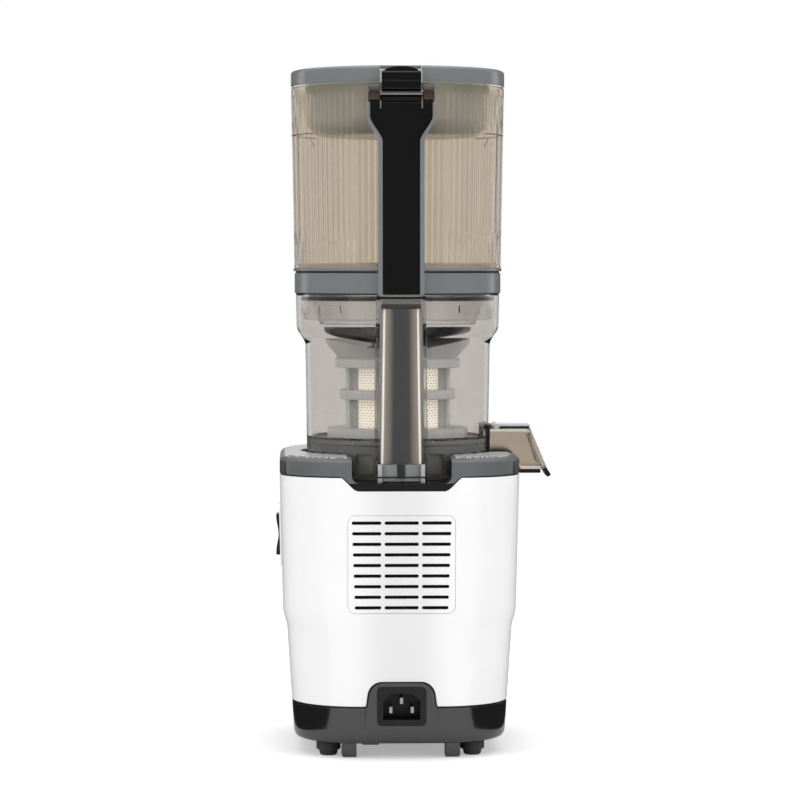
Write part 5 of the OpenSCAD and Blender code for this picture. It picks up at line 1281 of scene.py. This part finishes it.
# Smoky bronze copolyester with painted highlights along its rib crests
bronze_painted_crests = with_painted_crests("copolyester_bronze_painted_crests", "d3cbbf", "f0ece5", 96, 25.0, 0.12)

# %% [markdown]
# ## The hopper
# The hopper is a clear bronze bucket with fine upright ribs. Each rib is a narrow raised line with a flat
# between, so the rings repeat a few points for each rib. Beside the spine the ribs stop and the wall is
# bare. The rim has a plain clear band, and the foot a lip that stands out over the grey band ring.

# %% Ribbed bucket
BUCKET_DRAFT, BUCKET_WALL, RIB_H, RIBS, BARE = 2.2, 2.4, 0.24, 96, 25.0
SPINE_W, HEAD_W, SPINE_Y = 30.0, 45.4, COLUMN_Y


def bucket_at(z):
    return MOUTH_R - BUCKET_DRAFT * (MOUTH_Z - z) / (MOUTH_Z - BUCKET_Z)


def ribbed(z, rib):
    ring = []
    for k in range(RIBS):
        for part, lift in ((-0.5, 0), (-0.14, 0), (-0.07, 1), (0.07, 1), (0.14, 0)):
            a = math.pi / 2 + 2 * math.pi * (k + part) / RIBS
            bare = math.cos(a - math.pi / 2) > math.cos(math.radians(BARE))
            r = bucket_at(z) - RIB_H + (0 if bare else lift * rib)
            ring.append(polar(r, a, z))
    return ring


def plain(r, z):
    share = r / (bucket_at(z) - RIB_H)
    return [(x * share, y * share, z) for x, y, z in ribbed(z, 0)]


LIP_R, RIB_LOW, RIB_TOP = bucket_at(BUCKET_Z) + 0.7, BUCKET_Z + 5, MOUTH_Z - 6
bucket_rows = [plain(bucket_at(RIB_LOW) + 0.1, BUCKET_Z + 3.05), plain(bucket_at(RIB_LOW) + 0.1, RIB_LOW),
               ribbed(RIB_LOW + 0.02, 0), ribbed(RIB_LOW + 1.2, RIB_H)]
bucket_rows += [ribbed(RIB_LOW + 1.2 + (RIB_TOP - RIB_LOW - 2) * k / 5, RIB_H) for k in range(1, 6)]
bucket_rows += [ribbed(RIB_TOP - 0.02, 0), plain(bucket_at(RIB_TOP) + 0.1, RIB_TOP),
                plain(MOUTH_R, MOUTH_Z - 0.9), plain(MOUTH_R - 0.7, MOUTH_Z),
                plain(MOUTH_R - BUCKET_WALL + 0.7, MOUTH_Z), plain(MOUTH_R - BUCKET_WALL, MOUTH_Z - 0.9)]
bucket_rows += [plain(bucket_at(z) - BUCKET_WALL, z) for z in (MOUTH_Z - 30, MOUTH_Z - 60, MOUTH_Z - 90,
        BUCKET_Z + 3.05)]
settle("hopper_bronze", stacked(bucket_rows, closed=True), "hopper", ["hopper_bucket"],
       bronze_painted_crests, crease=25)

# %% [markdown]
# ## The fill mark
# A printed mark lies on the wall as a strip a tenth of a millimetre thick, which follows the bucket's taper.

# %% Fill mark on the bucket's sides
MARK_Z = MOUTH_Z - 32.4
marks = []
for side in (-1, 1):
    for z0, z1, a0, a1 in ((MARK_Z, MARK_Z, 52, 128), (MARK_Z - 3.5, MARK_Z - 9.0, 56, 52)):
        rows = []
        for k in range(20):
            a, z = math.radians(90 - side * (a0 + (a1 - a0) * k / 19)), z0 + (z1 - z0) * k / 19
            r = bucket_at(z)
            rows.append([polar(r + e, a, z + h) for e, h in oblong(0.0, 0.12, 0.0, 0.5)])
        marks.append(stacked(rows))
settle("fill_mark_brown", joined(marks), "hopper", [], mark_print)

# %% [markdown]
# ## Band, neck and funnel
# A grey band ring joins the bucket to the drum. Its collar reaches up inside the bucket and its clear neck
# down into the drum, with bayonet lugs that pass between the drum's. Inside the neck a funnel leads the
# fruit to the screw.

# %% Band ring, neck and lugs
NECK_LOW, COLLAR_Z = low("hopper_band", 2), high("hopper_band", 2)
NECK_R, NECK_IN, NECK_REACH = 63.5, 60.9, 9.7
COLLAR_R = bucket_at(BUCKET_Z) - BUCKET_WALL - 0.15
lip_ring = turned([(COLLAR_R + 0.1, BUCKET_Z + 0.7), (LIP_R - 0.4, BUCKET_Z + 0.7), (LIP_R, BUCKET_Z + 1.1),
                   (LIP_R, BUCKET_Z + 2.5), (LIP_R - 0.5, BUCKET_Z + 3), (COLLAR_R + 0.1, BUCKET_Z + 3)], 200)
settle("lip_ring_pearl", lip_ring, "hopper", ["hopper_bucket"], pearl_grey_abs)
# Painted shade: thin black rings in the gaps above and below the band
painted_shade_rings = [turned(oblong(66.0, BAND_R - 0.9, z, z + h), 160)
              for z, h in ((BUCKET_Z - 0.35, 1.05), (BAND_Z - 0.12, 0.9))]
settle("band_gaps_painted_shade", joined(painted_shade_rings), "hopper", [], black_acetal)
band = turned([(NECK_IN + 0.05, BAND_Z + 0.75), (BAND_R - 0.4, BAND_Z + 0.75), (BAND_R, BAND_Z + 1.1),
               (BAND_R, BUCKET_Z - 0.8), (BAND_R - 0.4, BUCKET_Z - 0.35), (COLLAR_R, BUCKET_Z - 0.35),
               (COLLAR_R, COLLAR_Z - 0.4), (COLLAR_R - 0.4, COLLAR_Z), (COLLAR_R - 1.2, COLLAR_Z),
               (NECK_IN + 0.05, BUCKET_Z + 0.2)], 200)
assign(band, lambda x, y, z, up: z > BUCKET_Z)
settle("band_pearl", band, "hopper", ["hopper_band"], [pearl_grey_abs, collar_grey])
neck = turned([(NECK_IN, NECK_LOW + 0.4), (NECK_IN + 0.4, NECK_LOW), (NECK_R - 0.4, NECK_LOW),
               (NECK_R, NECK_LOW + 0.4), (NECK_R, BAND_Z - 0.05), (NECK_IN, BAND_Z - 0.05)], 192)
neck_lugs = [pressed(sector(NECK_R + 1.5, NECK_R - 0.5, turn, NECK_REACH), BAND_Z - 13.5, BAND_Z - 9.5, "z")
             for turn in (0, 90, 180, 270)]
settle("neck_clear", carve(neck, neck_lugs, "UNION"), "hopper", [], funnel_tint, edge=0.2)

# %% Funnel
FUN_LOW, FUN_TOP = low("hopper_funnel", 2), high("hopper_funnel", 2)
FUN_R, FUN_END = NECK_IN - 0.05, 50.3
funnel_profile = [(FUN_R, BAND_Z + 2), (FUN_R, FUN_TOP - 0.4), (FUN_R - 0.4, FUN_TOP), (FUN_R - 0.9, FUN_TOP),
                  (FUN_R - 1.2, FUN_TOP - 0.4), (FUN_R - 2.4, BAND_Z + 4), (FUN_END, FUN_LOW + 2.4),
                  (FUN_END, FUN_LOW + 0.3), (FUN_END + 0.3, FUN_LOW), (FUN_END + 1.8, FUN_LOW),
                  (FUN_END + 2.2, FUN_LOW + 0.3)]
settle("funnel_clear", turned(funnel_profile, 192), "hopper", ["hopper_funnel"], funnel_tint)

# %% [markdown]
# ## The spine
# Behind the bucket a spine carries the hinge. A grey frame widens in an S-curve to the head, and a glossy
# black panel is let into it. Two bronze ears hold a steel pin, and the lid's black knuckle turns on it.

# %% Spine frame and panel
PANEL_W, PANEL_T, KNUCKLE_R, KNEE_Z = 24.0, 5.0, 5.2, MOUTH_Z - 23.5
HINGE_Z, HINGE_Y = height_of("hinge_pin"), sum(reach("hinge_pin", 1)) / 2


def spine_slab(w, top_w, low_z, high_z, start, end):
    """The spine's outline, which widens in an S-curve to the head, pressed out from start to end."""
    bend = [(w / 2 + (top_w - w) / 2 * (0.6 * k / 14 + 0.4 * eased(k / 14)), KNEE_Z - 14.5 + 14.5 * k / 14)
            for k in range(15)]
    foot, head = [(-w / 2, low_z), (w / 2, low_z)], [(top_w / 2, high_z), (-top_w / 2, high_z)]
    return pressed(foot + bend + head + flipped(bend), start, end, "y")


def hopper_body(e):
    return turned([(0, BAND_Z - 1), (BAND_R + e, BAND_Z - 1), (BAND_R + e, BUCKET_Z), (LIP_R + e, BUCKET_Z),
                   (LIP_R + e, BUCKET_Z + 3), (bucket_at(BUCKET_Z) + 0.15 + e, BUCKET_Z + 3),
                   (bucket_at(MOUTH_Z + 1) + 0.15 + e, MOUTH_Z + 1), (0, MOUTH_Z + 1)], 200)


def hinge_room():
    z = HINGE_Z - KNUCKLE_R - 0.9
    return pressed(oblong(-HEAD_W, HEAD_W, z, MOUTH_Z + 5), 60, SPINE_Y + 5, "y")


panel_room = spine_slab(PANEL_W + 0.2, HEAD_W - 4.8, BAND_Z - 1, MOUTH_Z + 5,
                        SPINE_Y - PANEL_T - 0.1, SPINE_Y + 1)
hollow_back = spine_slab(SPINE_W - 5, HEAD_W - 6, BAND_Z + 3, KNEE_Z + 1, 50, SPINE_Y - PANEL_T - 2)
spine = carve(spine_slab(SPINE_W, HEAD_W, BAND_Z, MOUTH_Z - 1, 50, SPINE_Y),
              [hopper_body(0.05), panel_room, hinge_room(), hollow_back])
settle("spine_frame_grey", spine, "hopper", ["spine_frame"], pearl_grey_abs, edge=0.4)
panel = carve(spine_slab(PANEL_W, HEAD_W - 5, BAND_Z + 0.1, MOUTH_Z - 1, SPINE_Y - PANEL_T, SPINE_Y + 0.6),
              [hinge_room()])
WEB_W, WEB_LOW, WEB_Y = 26.8, 426.0, (72.0, 73.8)
web = pressed(rounded(WEB_W, HINGE_Z + 1 - WEB_LOW, 0.8, 2, (0, (HINGE_Z + 3 + WEB_LOW) / 2)), *WEB_Y, "y")
settle("spine_panel_black", joined([panel, web]), "hopper", ["spine_panel"],
       black_abs, edge=0.5)

# %% Ears, pin and knuckle
PIN_R, EAR_T, EAR_R = width("hinge_pin", 2) / 2, 7.4, 6.4
EAR_X = radius("hinge_ears") - EAR_T / 2
ear_parts = []
for side in (-1, 1):
    boss = arc(HINGE_Y - 1.0, HINGE_Z - 0.3, EAR_R, [-90 + 180 * k / 20 for k in range(21)])
    outline = boss + [(62, HINGE_Z - 0.3 + EAR_R), (62, HINGE_Z - 0.3 - EAR_R)]
    ear_parts.append(pressed(outline, side * EAR_X - EAR_T / 2, side * EAR_X + EAR_T / 2, "x"))
pin_hole = pressed(disc(HINGE_Y, HINGE_Z, PIN_R, 48), -60, 60, "x")
settle("hinge_ears_bronze", carve(joined(ear_parts), [hopper_body(0.05), pin_hole]), "hopper", ["hinge_ears"],
       ear_clear, edge=0.4)
dress("hinge_pin", steel_polished, 0.3)
CHEEK_IN, CHEEK_OUT, CHEEK_LOW, CHEEK_TOP = 13.1, 13.9, 424.4, 429.6
cheeks = [pressed(oblong(side * CHEEK_IN, side * CHEEK_OUT, CHEEK_LOW, CHEEK_TOP), SPINE_Y - 4, SPINE_Y + 1.0,
                  "y") for side in (-1, 1)]
settle("hinge_cheeks_grey", joined(cheeks), "hopper", [], pearl_grey_abs, edge=0.2)

# %% [markdown]
# ## The knuckle
# The knuckle is a hook in outline: it wraps the pin from the front and stays open behind, so the steel shows.

# %% Knuckle of the lid, open behind where the pin shows
KNUCKLE_W, HOOK_R = 27.2, PIN_R + 0.15
KNUCKLE_TOP, CROWN = LID_Z + 5.9, 3.2
hook = [(65.9, LID_Z + 0.15), (75.0, LID_Z + 0.15)]
hook += arc(HINGE_Y, HINGE_Z, KNUCKLE_R, range(125, 271, 10))
hook += arc(HINGE_Y, HINGE_Z, HOOK_R, range(265, 54, -15))
hook += [(HINGE_Y + 4.4, HINGE_Z + 2.3), (HINGE_Y + 4.9, HINGE_Z + 2.9), (HINGE_Y + 4.9, HINGE_Z + 6.8),
         (HINGE_Y + 5.9, HINGE_Z + 7.0), (HINGE_Y + 5.9, HINGE_Z + 7.5), (HINGE_Y + 5.1, HINGE_Z + 8.0),
         (HINGE_Y + 5.1, KNUCKLE_TOP - 0.9), (HINGE_Y + 4.2, KNUCKLE_TOP), (65.9, KNUCKLE_TOP)]
crown = [(11.6 * math.sin(math.radians(a)), KNUCKLE_TOP - 0.4 + (CROWN + 0.4) * math.cos(math.radians(a)))
         for a in range(-90, 91, 9)]
knuckle = carve(pressed(hook, -KNUCKLE_W / 2 + 0.9, KNUCKLE_W / 2 - 0.9, "x"),
                [pressed(crown, 60, HINGE_Y + 3.4, "y")], "UNION")
settle("lid_knuckle_black", knuckle, "lid", ["lid_knuckle"], black_abs, edge=0.3)
# Painted highlight: two thin pale plates beside the knuckle stand for its edges catching the light
CHEEK_PLATE = [(66.0, LID_Z - 1.8), (84.6, LID_Z - 1.8), (84.9, LID_Z - 1.4), (84.9, KNUCKLE_TOP - 0.8),
               (84.2, KNUCKLE_TOP - 0.1), (66.0, KNUCKLE_TOP - 0.1)]
plates = [pressed(CHEEK_PLATE, *sorted((side * 12.85, side * 13.6)), "x") for side in (-1, 1)]
settle("lid_cheeks_painted_highlight", joined(plates), "lid", [], pale_grey_highlight, edge=0.15)

# %% [markdown]
# ## The lid
# The lid is a shallow turned cap of pearl grey plastic with a step at its foot. Under it hangs a smoky cup
# that closes the feed opening and shows through the bucket's clear wall.

# %% Lid cover and cup
LID_WALL = 2.0
lid_profile = [(0, TOP_Z - LID_WALL), (LID_R - LID_WALL, TOP_Z - LID_WALL - 0.6),
               (LID_R - LID_WALL, LID_Z + 0.3), (LID_R - LID_WALL + 0.3, LID_Z), (LID_R - 0.3, LID_Z),
               (LID_R, LID_Z + 0.3), (LID_R, TOP_Z - 2.4), (LID_R - 0.25, TOP_Z - 1.55),
               (LID_R - 0.8, TOP_Z - 0.95), (LID_R - 1.6, TOP_Z - 0.45),
               (LID_R - 2.6, TOP_Z - 0.2), (0, TOP_Z)]
knuckle_room = pressed(oblong(-KNUCKLE_W / 2 - 0.05, KNUCKLE_W / 2 + 0.05, 65.95, 90), LID_Z - 1,
                       TOP_Z + 2, "z")
lid = carve(turned(lid_profile, 200), [knuckle_room])
assign(lid, lambda x, y, z, up: (up < -0.5 and z > LID_Z + 1)
       or (math.hypot(x, y) < LID_R - LID_WALL + 0.4 and z < TOP_Z - LID_WALL))
settle("lid_pearl", lid, "lid", ["lid_cover"], [pearl_grey_abs, lid_underside_glow], edge=0.15)
CUP_R = radius("lid_cup") - 0.6
CUP_LOW, CUP_TOP = low("lid_cup", 2), high("lid_cup", 2)
CUP_BEND = 13.0
cup_out = arc(CUP_R - CUP_BEND, CUP_LOW + CUP_BEND, CUP_BEND, range(-90, 1, 6))
cup_in = arc(CUP_R - CUP_BEND, CUP_LOW + CUP_BEND, CUP_BEND - 2, range(0, -91, -6))
cup = turned([(0, CUP_LOW)] + cup_out + [(CUP_R + 0.6, CUP_TOP), (CUP_R - 1.4, CUP_TOP)] + cup_in
             + [(0, CUP_LOW + 2)], 192)
settle("cup_smoke", cup, "lid", ["lid_cup"], smoke_clear)

# %% [markdown]
# ## Floor, backdrop and light
# Product pictures on white use a bright sweep: the floor runs up into the wall without an edge, and the
# object keeps only a soft contact shadow. Two large soft panels light it from the camera's side, and a
# third from above draws the line along the deck. The world is white for the camera and through clear
# plastic, brighter where it lights what stands inside, and dimmer on outer surfaces, so that whites keep
# some shape.

# %% Stage
FLOOR_HALF, FLOOR_GLOW, CARD_EDGE, CARD_SLOPE = 4500.0, 0.36, 0.115, 0.93
floor_points = oblong(-FLOOR_HALF, FLOOR_HALF, -FLOOR_HALF, FLOOR_HALF)
floor = as_object(pressed(floor_points, -12.0, 0.0, "z"), "studio_floor")
floor_paint = blank_finish("studio_floor_white", {"Roughness": 0.9, "Specular IOR Level": 0.0,
                                                  "Emission Color": (1, 1, 1, 1)})
floor_where = add(floor_paint, "TexCoord").outputs["Object"]
floor_noise = add(floor_paint, "TexNoise", {"Scale": 3.0, "Vector": floor_where}).outputs["Fac"]
floor_tint = ramp(floor_paint, floor_noise, [(k, (v, v, v, 1)) for k, v in ((0.0, 0.86), (1.0, 0.88))])
connect(floor_paint, floor_tint, "Base Color")
floor_paths = add(floor_paint, "LightPath").outputs
seen = maths(floor_paint, "MAXIMUM", floor_paths["Is Camera Ray"], floor_paths["Is Transmission Ray"])
connect(floor_paint, maths(floor_paint, "MULTIPLY", seen, FLOOR_GLOW), "Emission Strength")
# Two dark cards lie beside the machine, out of view. They show only in glossy surfaces, as the dark fields
# at the corners of the pan; under the machine and towards the camera the floor stays white.
floor_split = add(floor_paint, "SeparateXYZ", {"Vector": floor_where})
card_side = maths(floor_paint, "ABSOLUTE",
                  maths(floor_paint, "SUBTRACT", floor_split.outputs["X"], AXIS[0] * MM))
card_y = maths(floor_paint, "MULTIPLY", floor_split.outputs["Y"], CARD_SLOPE)
card_front = maths(floor_paint, "GREATER_THAN", card_side, card_y)
card = maths(floor_paint, "MULTIPLY", card_front, maths(floor_paint, "GREATER_THAN", card_side, CARD_EDGE))
mirrored = maths(floor_paint, "GREATER_THAN", floor_paths["Is Glossy Ray"],
                 floor_paths["Is Transmission Ray"])
card_seen = maths(floor_paint, "MULTIPLY", card, mirrored)
card_black = add(floor_paint, "BsdfDiffuse", {"Color": (0.02, 0.02, 0.02, 1)})
card_mix = add(floor_paint, "MixShader", {0: card_seen, 1: shader_of(floor_paint).outputs[0],
                                          2: card_black.outputs[0]})
floor_paint.node_tree.links.new(card_mix.outputs[0],
                                floor_paint.node_tree.nodes["Material Output"].inputs["Surface"])
floor.data.materials.append(floor_paint)

world = bpy.data.worlds.new("studio_white")
bpy.context.scene.world = world
world.use_nodes = True
back = world.node_tree.nodes["Background"]
back.inputs["Color"].default_value = (1, 1, 1, 1)
# Brightness round the horizon, from the camera's side (0 degrees) to behind the machine (180 degrees)
GLOSS_ROUND = ((0, 0.3), (20, 0.4), (38, 0.5), (43, 0.08), (121, 0.08), (125, 1.0), (134, 1.0), (138, 0.08),
               (165, 0.08), (176, 0.9))
DIFFUSE_ROUND = ((0, 0.42), (50, 1.0), (95, 0.95), (120, 0.3), (180, 0.3))
OVERHEAD_GLOSS, OVERHEAD_DIFFUSE, INSIDE = 1.2, 0.8, 3.6


def blended(low_value, high_value, factor):
    return add(world, "Mix", {"Factor": factor, "A": low_value, "B": high_value}).outputs["Result"]


paths = add(world, "LightPath").outputs
heading = add(world, "SeparateXYZ", {"Vector": add(world, "TexCoord").outputs["Generated"]})
aside = maths(world, "ABSOLUTE", maths(world, "ARCTAN2", heading.outputs["X"], heading.outputs["Y"]))
share = maths(world, "DIVIDE", aside, math.pi)
overhead = mapped(world, heading.outputs["Z"], 0.45, 0.75, smooth=True)


def round_horizon(levels, above):
    """Brightness by direction: a ramp round the horizon that gives way to one value overhead."""
    top = max(v for _, v in levels)
    colours = ramp(world, share, [(degrees / 180, [value / top] * 3 + [1.0]) for degrees, value in levels])
    return blended(maths(world, "MULTIPLY", colours, top), above, overhead)


diffuse_light = round_horizon(DIFFUSE_ROUND, OVERHEAD_DIFFUSE)
glossy_light = round_horizon(GLOSS_ROUND, OVERHEAD_GLOSS)
scattered = maths(world, "GREATER_THAN", paths["Diffuse Depth"], 0.5)
through = blended(1.0, INSIDE, scattered)
strength = blended(diffuse_light, glossy_light, paths["Is Glossy Ray"])
strength = blended(strength, through, paths["Is Transmission Ray"])
strength = blended(strength, 1.0, paths["Is Camera Ray"])
world.node_tree.links.new(strength, back.inputs["Strength"])


def soft_panel(name, place, aim, size, watts):
    data = bpy.data.lights.new(name, "AREA")
    data.shape, data.size, data.size_y, data.energy = "RECTANGLE", size[0], size[1], watts
    lamp = bpy.data.objects.new(name, data)
    bpy.context.scene.collection.objects.link(lamp)
    lamp.location = at(*place)
    # Only the top panel shows in glossy surfaces: the side ones would lay a veil over the clear drum
    lamp.visible_glossy = place[2] > 1000
    lamp.rotation_euler = (at(*aim) - lamp.location).to_track_quat("-Z", "Y").to_euler()
    return lamp


soft_panel("panel_left", (1150, 950, 500), (0, 0, 230), (0.5, 1.2), 4)
soft_panel("panel_right", (-1150, 950, 500), (0, 0, 230), (0.5, 1.2), 4)
soft_panel("panel_top", (0, 100, 1500), (0, 0, 200), (1.4, 1.4), 5)
scene = bpy.context.scene
scene.cycles.max_bounces = 24
scene.cycles.transmission_bounces = 20
scene.cycles.transparent_max_bounces = 16
scene.view_settings.view_transform = "Standard"
